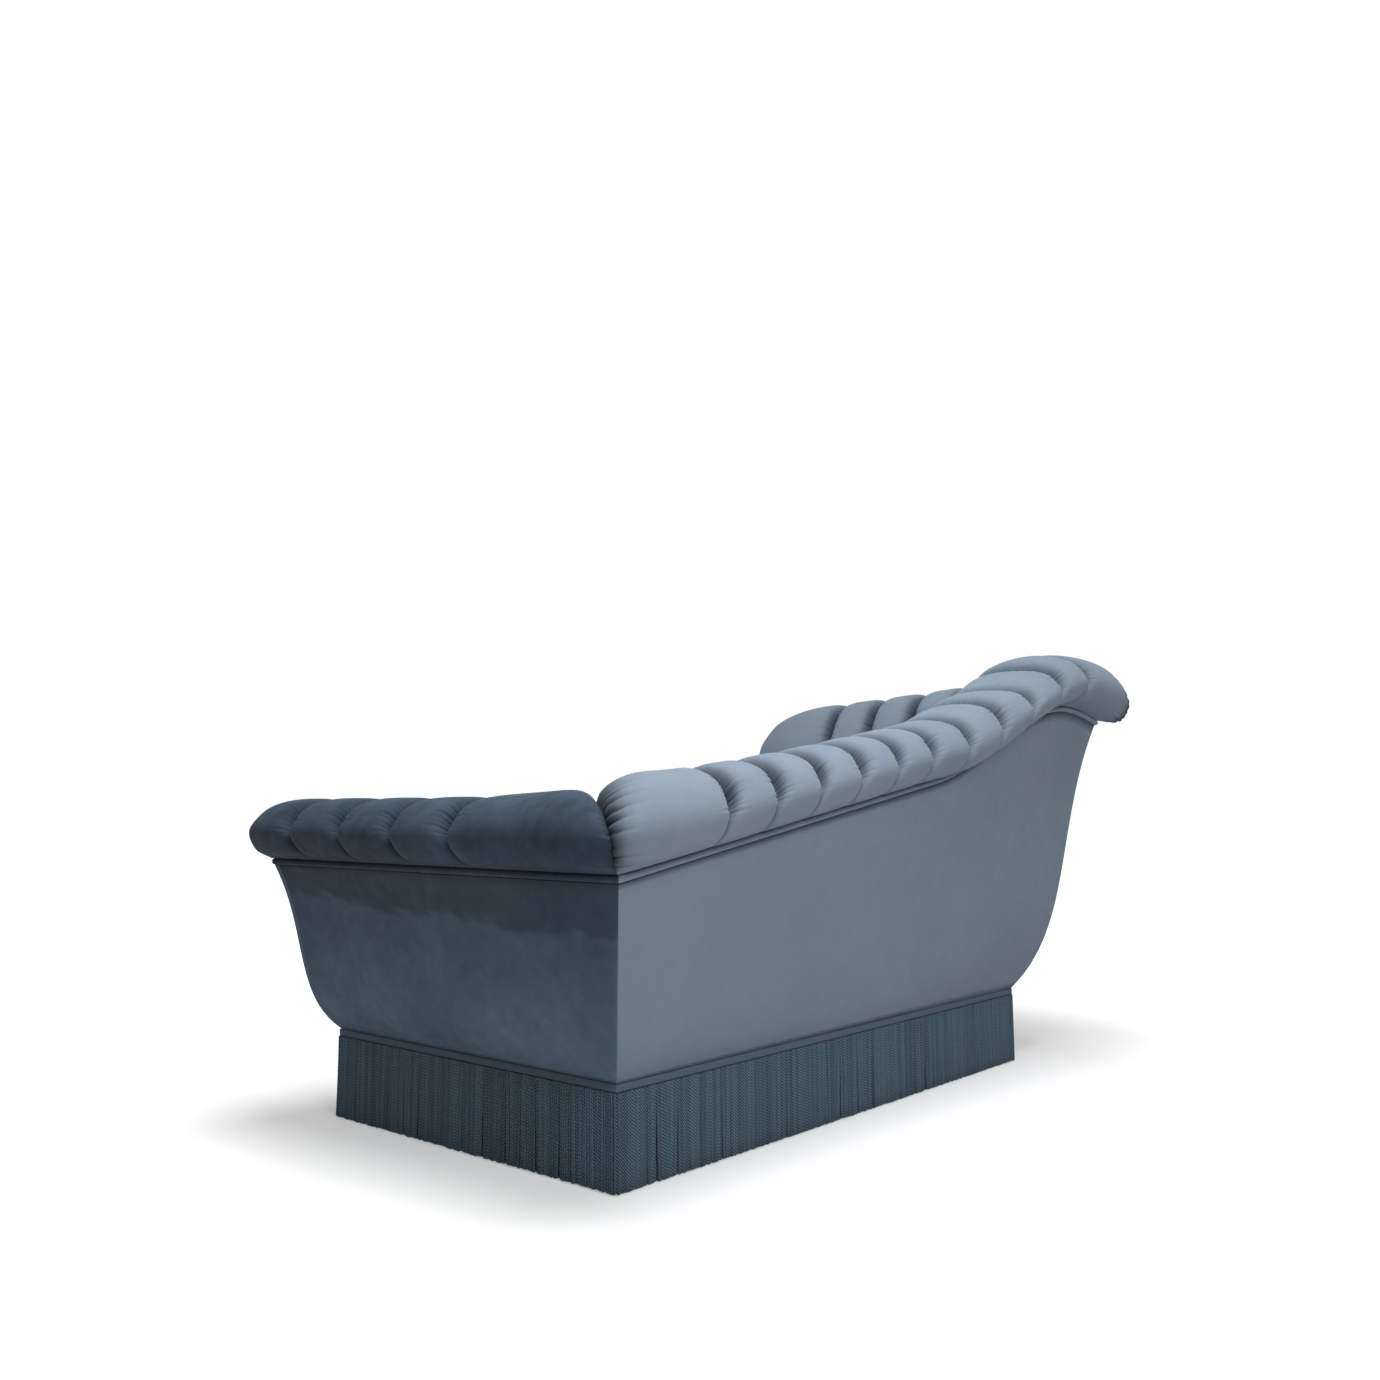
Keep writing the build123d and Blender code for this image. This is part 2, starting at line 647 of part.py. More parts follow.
def seat_outlines(inset):
    """Cuts across the crowned seat, lower at its two ends, moved in by inset on every covered face."""
    back = SEAT_BACK - inset
    front = SEAT_FRONT + inset
    nose = front + SEAT_NOSE
    edge = SEAT_EDGE - inset
    half = SEAT_HALF - inset
    slant = math.sqrt(0.5) * SEAT_NOSE
    rounding = (nose - slant, edge - SEAT_NOSE + slant)
    outlines = []
    for x, crown in ((-half, SEAT_END_CROWN), (0, SEAT_CROWN), (half, SEAT_END_CROWN)):
        with BuildSketch(Plane.YZ.offset(x)) as outline:
            with BuildLine():
                Polyline((front, edge - SEAT_NOSE), (front, TUCK_HEIGHT), (back, TUCK_HEIGHT), (back, edge))
                ThreePointArc((back, edge), ((back + nose) / 2, crown - inset), (nose, edge))
                ThreePointArc((nose, edge), rounding, (front, edge - SEAT_NOSE))
            make_face()
        outlines.append(outline.sketch)
    return outlines


with BuildPart() as seat_foam:
    loft(seat_outlines(SEAT_COVER + CLEARANCE))
seat_foam.part.label = "seat_foam"
export_step(seat_foam.part, "parts/seat_foam.step")

with BuildPart() as seat_cover:
    loft(seat_outlines(0))
    loft(seat_outlines(SEAT_COVER), mode=Mode.SUBTRACT)
seat_cover.part.label = "seat_cover"
export_step(seat_cover.part, "parts/seat_cover.step")

# Front: a facing on the front of each end wall and a border under the seat between them
FACING_TOP = TUCK_HEIGHT - CLEARANCE
for wall in ("foot", "head"):
    welt = welt_height(wall, BASE_DEPTH)
    rail_top = welt + TOP_RAIL_RISE
    outside = [wall_point(t, 0, welt) for t in WALL_STEPS]
    inner = -SEAT_WALL + CLEARANCE
    with BuildPart() as front_facing:
        with BuildSketch(cut_plane(wall, WALL_END_RUN + CLEARANCE, 0)) as outline:
            with BuildLine():
                Spline(*outside)
                Polyline(
                    outside[-1],
                    (FLARE - TOP_RAIL_INSET, welt),
                    (FLARE - TOP_RAIL_INSET, rail_top),
                    (inside_line(rail_top, welt, CLEARANCE), rail_top),
                    (inside_line(TUCK_HEIGHT, welt, CLEARANCE), FACING_TOP),
                    (inner, FACING_TOP),
                    (inner, BODY_BOTTOM),
                    outside[0],
                )
            make_face()
        extrude(outline.sketch, amount=FACING, dir=WALLS[wall][1])
    front_facing.part.label = f"{wall}_front_facing"
    export_step(front_facing.part, f"parts/{wall}_front_facing.step")

with BuildPart() as front_border:
    with BuildSketch(Plane.XZ.offset(CLEARANCE - FRONT_RAIL_FACE)):
        with Locations((0, (BODY_BOTTOM + FACING_TOP) / 2)):
            Rectangle(BASE_LENGTH - 2 * SEAT_WALL, FACING_TOP - BODY_BOTTOM)
    extrude(amount=BORDER)
    fillet(front_border.faces().sort_by(Axis.Y)[0].edges(), BORDER_EDGE)
front_border.part.label = "front_border"
export_step(front_border.part, "parts/front_border.step")

# Fringe header band round the base, and the bullion fringe below it
HEADER_BOTTOM = BODY_BOTTOM - HEADER_HEIGHT
FRINGE_DROP = HEADER_BOTTOM - FRINGE_FLOOR_GAP - CLEARANCE
FRINGE_BACK = RAIL_FACE + CLEARANCE
FRINGE_THICKNESS = FRINGE_PROUD - FRINGE_BACK

with BuildPart() as fringe_header:
    with BuildSketch(BASE_PLANE.offset(HEADER_BOTTOM)):
        Rectangle(BASE_LENGTH + 2 * HEADER_PROUD, BASE_DEPTH + 2 * HEADER_PROUD)
        Rectangle(BASE_LENGTH + 2 * FRINGE_BACK, BASE_DEPTH + 2 * FRINGE_BACK, mode=Mode.SUBTRACT)
    extrude(amount=HEADER_HEIGHT - CLEARANCE)
fringe_header.part.label = "fringe_header"
export_step(fringe_header.part, "parts/fringe_header.step")

# Each side's fringe: strands that hang from a slice of their heading
LONG_FRINGE = BASE_LENGTH + 2 * FRINGE_PROUD
SHORT_FRINGE = BASE_DEPTH + 2 * FRINGE_BACK - 2 * CLEARANCE
fringe_sides = {
    "back": ((0, BACK_Y + FRINGE_BACK), (-1, 0), (0, 1), LONG_FRINGE),
    "front": ((0, FRONT_Y - FRINGE_BACK), (1, 0), (0, -1), LONG_FRINGE),
    "foot": ((HALF_LENGTH + FRINGE_BACK, BASE_SHIFT), (0, 1), (1, 0), SHORT_FRINGE),
    "head": ((-HALF_LENGTH - FRINGE_BACK, BASE_SHIFT), (0, -1), (-1, 0), SHORT_FRINGE),
}
for name, (middle, along, out, length) in fringe_sides.items():
    count = round(length / STRAND_PITCH)
    pitch = length / count
    with BuildPart() as fringe:
        with BuildSketch(Plane(middle, x_dir=along, z_dir=out)):
            with Locations((0, FRINGE_FLOOR_GAP + FRINGE_DROP - FRINGE_SLICE / 2)):
                Rectangle(length, FRINGE_SLICE)
            with Locations((0, FRINGE_FLOOR_GAP + FRINGE_DROP / 2)):
                with GridLocations(pitch, 1, count, 1):
                    Rectangle(pitch - STRAND_GAP, FRINGE_DROP)
        extrude(amount=FRINGE_THICKNESS)
    fringe.part.label = f"{name}_fringe"
    export_step(fringe.part, f"parts/{name}_fringe.step")

# Dust cover tacked under the rails, notched round the feet
with BuildPart() as dust_cover:
    with BuildSketch(BASE_PLANE.offset(RAIL_BOTTOM - DUST_COVER)):
        Rectangle(LONG_RAIL - 2 * DUST_INSET, BASE_DEPTH - 2 * HEADER_SEAT - 2 * DUST_INSET)
        with Locations((0, FRONT_RECESS / 2)):
            with Locations(*foot_places):
                Rectangle(FOOT_TOP + 2 * DUST_NOTCH, FOOT_TOP + 2 * DUST_NOTCH, mode=Mode.SUBTRACT)
    extrude(amount=DUST_COVER)
dust_cover.part.label = "dust_cover"
export_step(dust_cover.part, "parts/dust_cover.step")
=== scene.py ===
# Looks of the fluted chaise longue, in metres: foot end +X, head end -X, back +Y, front -Y.

import math

import bpy
import numpy as np
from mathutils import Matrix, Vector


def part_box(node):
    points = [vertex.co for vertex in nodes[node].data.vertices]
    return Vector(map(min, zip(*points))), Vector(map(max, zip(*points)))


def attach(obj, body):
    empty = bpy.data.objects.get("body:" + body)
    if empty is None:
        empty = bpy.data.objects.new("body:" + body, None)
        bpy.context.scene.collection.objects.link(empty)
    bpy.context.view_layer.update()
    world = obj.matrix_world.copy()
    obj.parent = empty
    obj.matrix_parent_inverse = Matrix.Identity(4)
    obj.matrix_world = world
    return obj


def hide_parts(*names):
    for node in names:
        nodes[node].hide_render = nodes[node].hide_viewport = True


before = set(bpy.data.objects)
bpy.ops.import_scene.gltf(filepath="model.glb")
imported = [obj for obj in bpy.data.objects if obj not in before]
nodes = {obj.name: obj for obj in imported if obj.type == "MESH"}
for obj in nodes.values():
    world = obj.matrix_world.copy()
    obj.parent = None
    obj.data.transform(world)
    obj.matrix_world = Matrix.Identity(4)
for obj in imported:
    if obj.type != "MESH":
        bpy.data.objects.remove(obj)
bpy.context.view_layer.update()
scene = bpy.context.scene

# Base, flare and piping line, as in the solids
BASE_LENGTH = 1.290
BASE_DEPTH = 0.715
BODY_BOTTOM = 0.165
FLARE = 0.138
WELT_LOW = 0.474
RAMP_END = 0.700
RAMP_TOP = 0.618
CREST_RUN = 1.260
WELT_CREST = 0.784
WELT_CORNER = 0.763
WELT_HEAD_FRONT = 0.714
CORNER_SLOPE = -0.22
BELLY = 0.55
BELLY_RATE = 5.5
STRAIGHT = 0.20
LIP = 0.25
LIP_POWER = 4

# Fluted roll
ROLL_OVERHANG = 0.056
ROLL_BELLY = 0.061
ROLL_RISE = 0.118
ROLL_TOP_INSET = 0.042
ROLL_SHOULDER = 0.040
PAD_THICKNESS = 0.056
HEAD_SWELL = 0.042
FOOT_SWELL = 0.024
SWELL_REACH = 0.115
BACK_SWELL = 0.034
BACK_SWELL_REACH = 0.200
RAMP_DIP = 0.024
DIP_RUN = 1.040
DIP_REACH = 0.110
RAMP_DROOP = 0.030
FIRST_FLUTE = 0.052
LOW_FLUTE = 0.114
LOW_FLUTES = 5
HIGH_FLUTES = 5
CORNER_INSIDE = 0.036
FOOT_SEAMS = 4
FOOT_FLUTE = 0.139
FOOT_FRONT_FLUTE = 0.120
HEAD_SEAMS = 4
HEAD_FLUTE = 0.115
HEAD_FRONT_FLUTE = 0.225
SEAM_GAP = 0.0002

# Frame side of the flutes
RAIL_FACE = -0.004
RIB_SEAT = 0.011
INNER_PANEL = 0.004
TOP_RAIL_INSET = 0.0175
TOP_RAIL_WIDTH = 0.082
TOP_RAIL_RISE = 0.043
TUCK_HEIGHT = 0.3456
CLEARANCE = 0.0003
SOFT_CLEARANCE = 0.0009

# Seat, front and trim
SEAT_WALL = 0.080
SEAT_EDGE = 0.428
SEAT_CROWN = 0.446
FRONT_PROUD = 0.004
HEADER_SEAT = 0.004
FRONT_RECESS = 0.016
FACING = 0.0165
COVER = 0.003
PIPING_RADIUS = 0.006
PIPING_CLEARANCE = 0.0012
HEADER_HEIGHT = 0.013

ROLL_OUT = FLARE + ROLL_OVERHANG
PIPING_SPACE = 2 * PIPING_RADIUS + 2 * PIPING_CLEARANCE
BASE_SHIFT = (FRONT_PROUD - ROLL_OUT) / 2
BACK_Y = BASE_DEPTH / 2 + BASE_SHIFT
FRONT_Y = BACK_Y - BASE_DEPTH
HALF_LENGTH = BASE_LENGTH / 2
WALL_END_RUN = BASE_DEPTH - HEADER_SEAT - FRONT_RECESS

# Each wall: its base corner, the direction it runs in and the direction it faces
WALLS = {
    "back": (np.array((HALF_LENGTH, BACK_Y)), np.array((-1, 0)), np.array((0, 1))),
    "foot": (np.array((HALF_LENGTH, BACK_Y)), np.array((0, -1)), np.array((1, 0))),
    "head": (np.array((-HALF_LENGTH, BACK_Y)), np.array((0, -1)), np.array((-1, 0))),
}


# Shape of the walls
def between(t, start, end, start_turn, end_turn):
    """Smooth curve at shares t, with a direction at each end."""
    leave = (1 + 2 * t) * (1 - t) ** 2 * start + t * (1 - t) ** 2 * start_turn
    return leave + t * t * (3 - 2 * t) * end + t * t * (t - 1) * end_turn


def smooth_step(x, x0, z0, slope0, x1, z1, slope1):
    span = x1 - x0
    return between((x - x0) / span, z0, z1, span * slope0, span * slope1)


def welt_height(wall, run):
    """Height of the piping line; run is measured from the wall's base corner."""
    if wall == "foot":
        return WELT_LOW
    if wall == "head":
        fall = (WELT_HEAD_FRONT - WELT_CORNER) / (BASE_DEPTH + FLARE)
        return WELT_CORNER + fall * (run + FLARE)
    ramp = (RAMP_TOP - WELT_LOW) / (RAMP_END + FLARE)
    if run < RAMP_END:
        return WELT_LOW + ramp * (run + FLARE)
    if run < CREST_RUN:
        return smooth_step(run, RAMP_END, RAMP_TOP, ramp, CREST_RUN, WELT_CREST, 0)
    corner = BASE_LENGTH + FLARE
    return smooth_step(run, CREST_RUN, WELT_CREST, 0, corner, WELT_CORNER, CORNER_SLOPE)


def welt_slope(wall, run):
    step = 0.005
    return (welt_height(wall, run + step) - welt_height(wall, run - step)) / (2 * step)


def roll_rise(wall, run):
    """Height of the roll over the piping line."""
    near = math.exp(-(run + FLARE) / SWELL_REACH)
    far = math.exp(-(BASE_LENGTH + FLARE - run) / SWELL_REACH)
    if wall == "back":
        dip = RAMP_DIP * math.exp(-(((run - DIP_RUN) / DIP_REACH) ** 2))
        near = math.exp(-(run + FLARE) / BACK_SWELL_REACH)
        return ROLL_RISE + BACK_SWELL * near + HEAD_SWELL * far - dip
    return ROLL_RISE + (FOOT_SWELL if wall == "foot" else HEAD_SWELL) * near


def flare_share(t):
    """Share of the flare at a share of the wall's height."""
    full = BELLY * (1 - math.exp(-BELLY_RATE)) + STRAIGHT + LIP
    return (BELLY * (1 - np.exp(-BELLY_RATE * t)) + STRAIGHT * t + LIP * t**LIP_POWER) / full


def inside_line(z, welt):
    """Face that the inside padding lies on, at height z."""
    low = RAIL_FACE - RIB_SEAT - INNER_PANEL - 2 * CLEARANCE
    high = FLARE - TOP_RAIL_INSET - TOP_RAIL_WIDTH - INNER_PANEL - 2 * CLEARANCE
    return low + (high - low) * (z - TUCK_HEIGHT) / (welt + TOP_RAIL_RISE - TUCK_HEIGHT)


def on_wall(wall, run, out, z):
    """Points of a wall as an array of x, y, z."""
    corner, along, face = WALLS[wall]
    run, out, z = np.broadcast_arrays(run, out, z)
    plan = corner + run[..., None] * along + out[..., None] * face
    return np.concatenate([plan, z[..., None]], axis=-1)


# Seams, as (start, skew): a cut through the wall along run = start + skew * distance out
MITRE = (0, -1)
HEAD_MITRE = (BASE_LENGTH, 1)
FRONT_END = (BASE_DEPTH, 0)


def back_seams():
    """Mitred corners and seams that fan out between them."""
    rise_run = FIRST_FLUTE + LOW_FLUTES * LOW_FLUTE
    high_flute = (BASE_LENGTH - rise_run) / HIGH_FLUTES
    outer = [FIRST_FLUTE + i * LOW_FLUTE for i in range(LOW_FLUTES)]
    outer += [rise_run + i * high_flute for i in range(HIGH_FLUTES + 1)]
    margin = SEAT_WALL + CORNER_INSIDE
    seams = [MITRE]
    for a, b in zip(outer, np.linspace(margin, BASE_LENGTH - margin, len(outer))):
        skew = (a - b) / (ROLL_OUT + SEAT_WALL)
        seams.append((a - skew * ROLL_OUT, skew))
    return seams + [HEAD_MITRE]


def end_seams(count, pitch, front):
    """Mitre and square seams of an end wall."""
    return [MITRE] + [(BASE_DEPTH - front - i * pitch, 0) for i in reversed(range(count))] + [FRONT_END]


SEAMS = {
    "back": back_seams(),
    "foot": end_seams(FOOT_SEAMS, FOOT_FLUTE, FOOT_FRONT_FLUTE),
    "head": end_seams(HEAD_SEAMS, HEAD_FLUTE, HEAD_FRONT_FLUTE),
}


# Meshes
def set_mode(mode):
    bpy.ops.object.mode_set(mode=mode)


def deselect_all():
    if bpy.context.object and bpy.context.object.mode != "OBJECT":
        set_mode("OBJECT")
    bpy.ops.object.select_all(action="DESELECT")


def make_active(piece):
    deselect_all()
    piece.select_set(True)
    bpy.context.view_layer.objects.active = piece


def apply_modifier(piece, kind, **settings):
    make_active(piece)
    modifier = piece.modifiers.new(kind.lower(), kind)
    for key, value in settings.items():
        setattr(modifier, key, value)
    bpy.ops.object.modifier_apply(modifier=modifier.name)


def smooth_shade(piece, angle):
    make_active(piece)
    bpy.ops.object.shade_smooth_by_angle(angle=math.radians(angle))


def select_faces(piece, wanted):
    """Selects the faces that pass a test, and stays in edit mode."""
    make_active(piece)
    set_mode("EDIT")
    bpy.ops.mesh.select_mode(type="FACE")
    bpy.ops.mesh.select_all(action="DESELECT")
    set_mode("OBJECT")
    for face in piece.data.polygons:
        face.select = wanted(face.center, face.normal)
    set_mode("EDIT")


def settle(name, scale):
    """Names the new object, and puts its place and scale into its mesh."""
    piece = bpy.context.object
    piece.name = name
    piece.scale = scale
    bpy.ops.object.transform_apply(location=True, rotation=True, scale=True)
    return piece


def add_box(name, low, high):
    deselect_all()
    middle = [(a + b) / 2 for a, b in zip(low, high)]
    bpy.ops.mesh.primitive_cube_add(size=1, location=middle)
    return settle(name, [b - a for a, b in zip(low, high)])


def coordinates(piece):
    flat = np.empty(len(piece.data.vertices) * 3)
    piece.data.vertices.foreach_get("co", flat)
    return flat.reshape(-1, 3)


def set_coordinates(piece, points):
    piece.data.vertices.foreach_set("co", np.asarray(points, float).ravel())
    piece.data.update()


def link_mesh(name, points, faces):
    mesh = bpy.data.meshes.new(name)
    mesh.from_pydata(points.tolist(), [], faces)
    piece = bpy.data.objects.new(name, mesh)
    scene.collection.objects.link(piece)
    return piece


def tube_faces(columns, rows, first):
    """Quads between a tube's loops, and its two ends."""
    faces = []
    for i in range(columns - 1):
        near, far = first + i * rows, first + (i + 1) * rows
        for a in range(rows):
            b = (a + 1) % rows
            faces.append([near + a, far + a, far + b, near + b])
    last = first + (columns - 1) * rows
    return faces + [list(range(first, first + rows)), list(range(last, last + rows))[::-1]]


def new_piece(name, tubes, soft_angle=50):
    """A closed mesh over tubes, each an array of loops."""
    points, faces = [], []
    first = 0
    for tube in tubes:
        faces += tube_faces(*tube.shape[:2], first)
        points.append(tube.reshape(-1, 3))
        first += len(points[-1])
    piece = link_mesh(name, np.concatenate(points), faces)
    make_active(piece)
    set_mode("EDIT")
    bpy.ops.mesh.select_all(action="SELECT")
    bpy.ops.mesh.normals_make_consistent(inside=False)
    smooth_shade(piece, soft_angle)
    return piece


def paint(piece, name, values):
    """A value for every point, for the material to read."""
    layer = piece.data.attributes.new(name, "FLOAT", "POINT")
    layer.data.foreach_set("value", np.asarray(values, np.float32).ravel())


def finish_piece(piece, slot, material, *replaced):
    piece.data.materials.clear()
    piece.data.materials.append(material)
    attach(piece, "root")
    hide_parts(*replaced)


STUFFING_FRAMES = 14
STUFFING_CLOTH = {
    "quality": 5,
    "mass": 0.3,
    "tension_stiffness": 12,
    "compression_stiffness": 12,
    "shear_stiffness": 6,
    "bending_stiffness": 1.0,
    "use_pressure": True,
    "vertex_group_mass": "sewn",
}


def stuff(name, tubes, sewn, pressure, most):
    """Movement of padded points as a cloth simulation swells them."""
    piece = new_piece(name, tubes)
    start = coordinates(piece)
    piece.vertex_groups.new(name="sewn").add(np.flatnonzero(sewn).tolist(), 1.0, "REPLACE")
    cloth = piece.modifiers.new("stuffing", "CLOTH")
    for key, value in STUFFING_CLOTH.items():
        setattr(cloth.settings, key, value)
    cloth.settings.uniform_pressure_force = pressure
    cloth.settings.effector_weights.gravity = 0
    cloth.collision_settings.use_collision = False
    cloth.point_cache.frame_start = 1
    cloth.point_cache.frame_end = STUFFING_FRAMES
    for step in range(1, STUFFING_FRAMES + 1):
        scene.frame_set(step)
    make_active(piece)
    bpy.ops.object.modifier_apply(modifier=cloth.name)
    scene.frame_set(1)
    moved = coordinates(piece) - start
    bpy.data.objects.remove(piece)
    length = np.linalg.norm(moved, axis=1, keepdims=True)
    return moved * np.minimum(1, most / np.maximum(length, 1e-9))


def refine(values):
    """A smooth line with one more point between each two."""
    padded = np.concatenate([2 * values[:1] - values[1:2], values, 2 * values[-1:] - values[-2:-1]])
    fine = np.empty((2 * len(values) - 1, *values.shape[1:]))
    fine[0::2] = values
    fine[1::2] = (9 * (padded[1:-2] + padded[2:-1]) - padded[:-3] - padded[3:]) / 16
    return fine


def refine_tube(grid, face_rows):
    """A tube with twice the points on its show side."""
    across = refine(grid)
    face = np.swapaxes(refine(np.swapaxes(across[:, :face_rows], 0, 1)), 0, 1)
    return np.concatenate([face, across[:, face_rows:]], axis=1)


def smooth_line(keys, counts):
    """Rounded line through key points."""
    step = np.diff(keys, axis=0)
    length = np.linalg.norm(step, axis=1, keepdims=True)
    slope = step / length
    turn = np.empty_like(keys)
    turn[0], turn[-1] = slope[0], slope[-1]
    turn[1:-1] = (slope[:-1] * length[1:] + slope[1:] * length[:-1]) / (length[:-1] + length[1:])
    line = []
    for i, count in enumerate(counts):
        t = (np.arange(count) / count)[:, None]
        line.append(between(t, keys[i], keys[i + 1], length[i] * turn[i], length[i] * turn[i + 1]))
    return np.concatenate(line + [keys[-1:]])


# Flutes. Key points: hem, under, belly, outer, crown, inner, shoulder, face, toe and tuck
FLUTE_ROWS = (8, 10, 16, 22, 20, 12, 14, 12, 6)
FACE_ROWS = sum(FLUTE_ROWS) + 1
FLUTE_COLUMNS = 13
FULL_WIDTH = 0.100


def draw_in(reach, roundness, out, up):
    """How far a seam draws each key point in, in millimetres, with its reach and roundness."""
    return np.column_stack([out, up]) / 1000, reach, roundness


PLAIN_SEAM = draw_in(
    0.037, 3.0, (0, -8, -16, -24, 0, 20, 24, 16, 9, 3), (0, 0, 0, -22, -42, -32, 0, 0, 0, 0)
)
BACK_MITRE = draw_in(
    0.056, 2.0, (-2, -14, -24, -24, 0, 16, 20, 14, 9, 3), (0, 2, 0, -20, -42, -28, 0, 0, 0, 0)
)
FOOT_MITRE = draw_in(
    0.105, 2.0, (-2, -14, -22, -24, 0, 16, 18, 14, 9, 3), (0, 0, 0, -24, -50, -34, 0, 0, 0, 0)
)
FAR_MITRE = draw_in(
    0.060, 2.0, (0, 1, 1, -3, 0, 12, 18, 14, 9, 3), (-1, -14, -16, -12, -14, -14, 0, 0, 0, 0)
)
FOOT_FRONT = draw_in(
    0.070, 2.4, (0, -6, -12, -14, 0, 16, 20, 14, 8, 3), (0, 0, 0, -12, -20, -18, 0, 0, 0, 0)
)
HEAD_FRONT = draw_in(
    0.170, 2.0, (0, -16, -26, -26, 0, 30, 40, 26, 12, 4), (0, 2, 0, -26, -56, -46, 0, 0, 0, 0)
)
# The near corner's mitre leans towards the foot end's front, most at the crown
MITRE_LEAN = np.array((2, 9, 15, 26, 42, 28, 8, 0, 0, 0)) / 1000
LEAN_REACH = {"back": 0.075, "foot": 0.140}
# Below the belly the plain seams sweep towards the wall's first corner, most at the hem
SEAM_SWEEP = {"back": -0.030, "foot": -0.022, "head": -0.022}
SWEEP_SHARES = np.array((1, 0.75, 0.3, 0.05, 0, 0, 0, 0, 0, 0))


def seam_shape(wall, seam):
    if seam == FRONT_END:
        return FOOT_FRONT if wall == "foot" else HEAD_FRONT
    if abs(seam[1]) < 1:
        return PLAIN_SEAM
    if seam == HEAD_MITRE or wall == "head":
        return FAR_MITRE
    return BACK_MITRE if wall == "back" else FOOT_MITRE


HEM_PROUD = 0.0035
HEM_DROP = 0.0015


def flute_keys(wall, run):
    """Key points of a full flute, as distance out and height."""
    welt, rise = welt_height(wall, run), roll_rise(wall, run)
    droop = RAMP_DROOP * abs(welt_slope(wall, run))
    hem_z = welt + PIPING_SPACE
    belly_z = welt + ROLL_BELLY
    crown_out, crown_z = FLARE - ROLL_TOP_INSET, welt + rise
    shoulder_z = welt + ROLL_SHOULDER
    shoulder_out = inside_line(shoulder_z, welt) - PAD_THICKNESS
    inner_out = crown_out + 0.68 * (shoulder_out - crown_out)
    line = [
        (FLARE + HEM_PROUD, hem_z - HEM_DROP),
        (FLARE + 0.70 * ROLL_OVERHANG, hem_z + 0.32 * (belly_z - hem_z) - droop),
        (FLARE + ROLL_OVERHANG, belly_z - 0.5 * droop),
        (FLARE + 0.60 * ROLL_OVERHANG, belly_z + 0.62 * (crown_z - belly_z)),
        (crown_out, crown_z),
        (inner_out, shoulder_z + 0.74 * (crown_z - shoulder_z)),
        (shoulder_out, shoulder_z),
        ((shoulder_out - SEAT_WALL) / 2, (shoulder_z + SEAT_EDGE) / 2),
        (-SEAT_WALL, SEAT_EDGE),
        (-SEAT_WALL, TUCK_HEIGHT),
    ]
    return np.array(line)


def frame_side(wall, run):
    """Side of a flute against the frame, from the tuck to the hem."""
    welt = welt_height(wall, run)
    top = welt + TOP_RAIL_RISE + SOFT_CLEARANCE
    rail_out = FLARE - TOP_RAIL_INSET + SOFT_CLEARANCE
    line = [
        (inside_line(TUCK_HEIGHT, welt), TUCK_HEIGHT),
        (inside_line((TUCK_HEIGHT + top) / 2, welt), (TUCK_HEIGHT + top) / 2),
        (inside_line(top, welt), top),
        (rail_out, top),
        (rail_out, welt + PIPING_SPACE),
    ]
    return np.array(line)


def fullness(distance, reach, roundness):
    """Share of a flute's full height at a distance from its seam."""
    short = 1 - np.minimum(distance / reach, 1)
    return np.sqrt(np.maximum(1 - short**roundness, 0))


def flute_grid(wall, left, right):
    """A flute's loops, and each point's distance to its two seams."""
    shapes = [seam_shape(wall, seam) for seam in (left, right)]
    key_rows = np.cumsum((0, *FLUTE_ROWS))
    lean = np.interp(np.arange(FACE_ROWS), key_rows, MITRE_LEAN)
    leans = left == MITRE and wall in LEAN_REACH
    swept = [SEAM_SWEEP[wall] * (shape is PLAIN_SEAM) for shape in shapes]
    sweep = np.zeros(FACE_ROWS + 5)
    sweep[:FACE_ROWS] = np.interp(np.arange(FACE_ROWS), key_rows, SWEEP_SHARES)
    loops, from_left, from_right = [], [], []
    for place in np.sin(np.linspace(-1, 1, FLUTE_COLUMNS) * math.pi / 2):
        share = (place + 1) / 2
        start = left[0] + SEAM_GAP / 2 + share * (right[0] - left[0] - SEAM_GAP)
        skew = left[1] + share * (right[1] - left[1])
        run = start + skew * FLARE
        keys = flute_keys(wall, run)
        width = right[0] - left[0] + (right[1] - left[1]) * keys[:, 0]
        depth = np.minimum(1, width / FULL_WIDTH)[:, None]
        for shape, distance in zip(shapes, (share * width, (1 - share) * width)):
            sink, reach, roundness = shape
            room = width if shape is HEAD_FRONT else width / 2
            drawn = 1 - fullness(distance, np.minimum(reach, room), roundness)
            keys = keys + sink * depth * drawn[:, None]
        loop = np.concatenate([smooth_line(keys, FLUTE_ROWS), frame_side(wall, run)])
        wide = right[0] - left[0] + (right[1] - left[1]) * loop[:, 0]
        along = sweep * (swept[0] + share * (swept[1] - swept[0]))
        runs = start + skew * loop[:, 0] + along
        points = on_wall(wall, runs, loop[:, 0], loop[:, 1] + along * welt_slope(wall, run))
        if leans:
            near = np.maximum(0, 1 - share * wide[:FACE_ROWS] / LEAN_REACH[wall])
            points[:FACE_ROWS, 1] -= lean * near**2
        loops.append(points)
        from_left.append(share * wide)
        from_right.append((1 - share) * wide)
    return np.array(loops), np.array(from_left), np.array(from_right)


def sewn_points(grid, hem, tuck):
    """Points of a pad that its seams, its hem and the frame hold."""
    held = np.zeros(grid.shape[:2], bool)
    held[[0, -1]] = True
    held[:, :hem] = True
    held[:, tuck:] = True
    return held


# Gathers at the seams: pitch, reach and depth of the small folds
PUCKERS = (0.0090, 0.0150, 0.0050)
PLEATS = (0.0185, 0.0240, 0.0140)
TICKS = (0.0120, 0.0140, 0.0050)
# Width of a fold, as a share of the pitch
MITRE_FOLD = 0.18
PLAIN_FOLD = 0.26
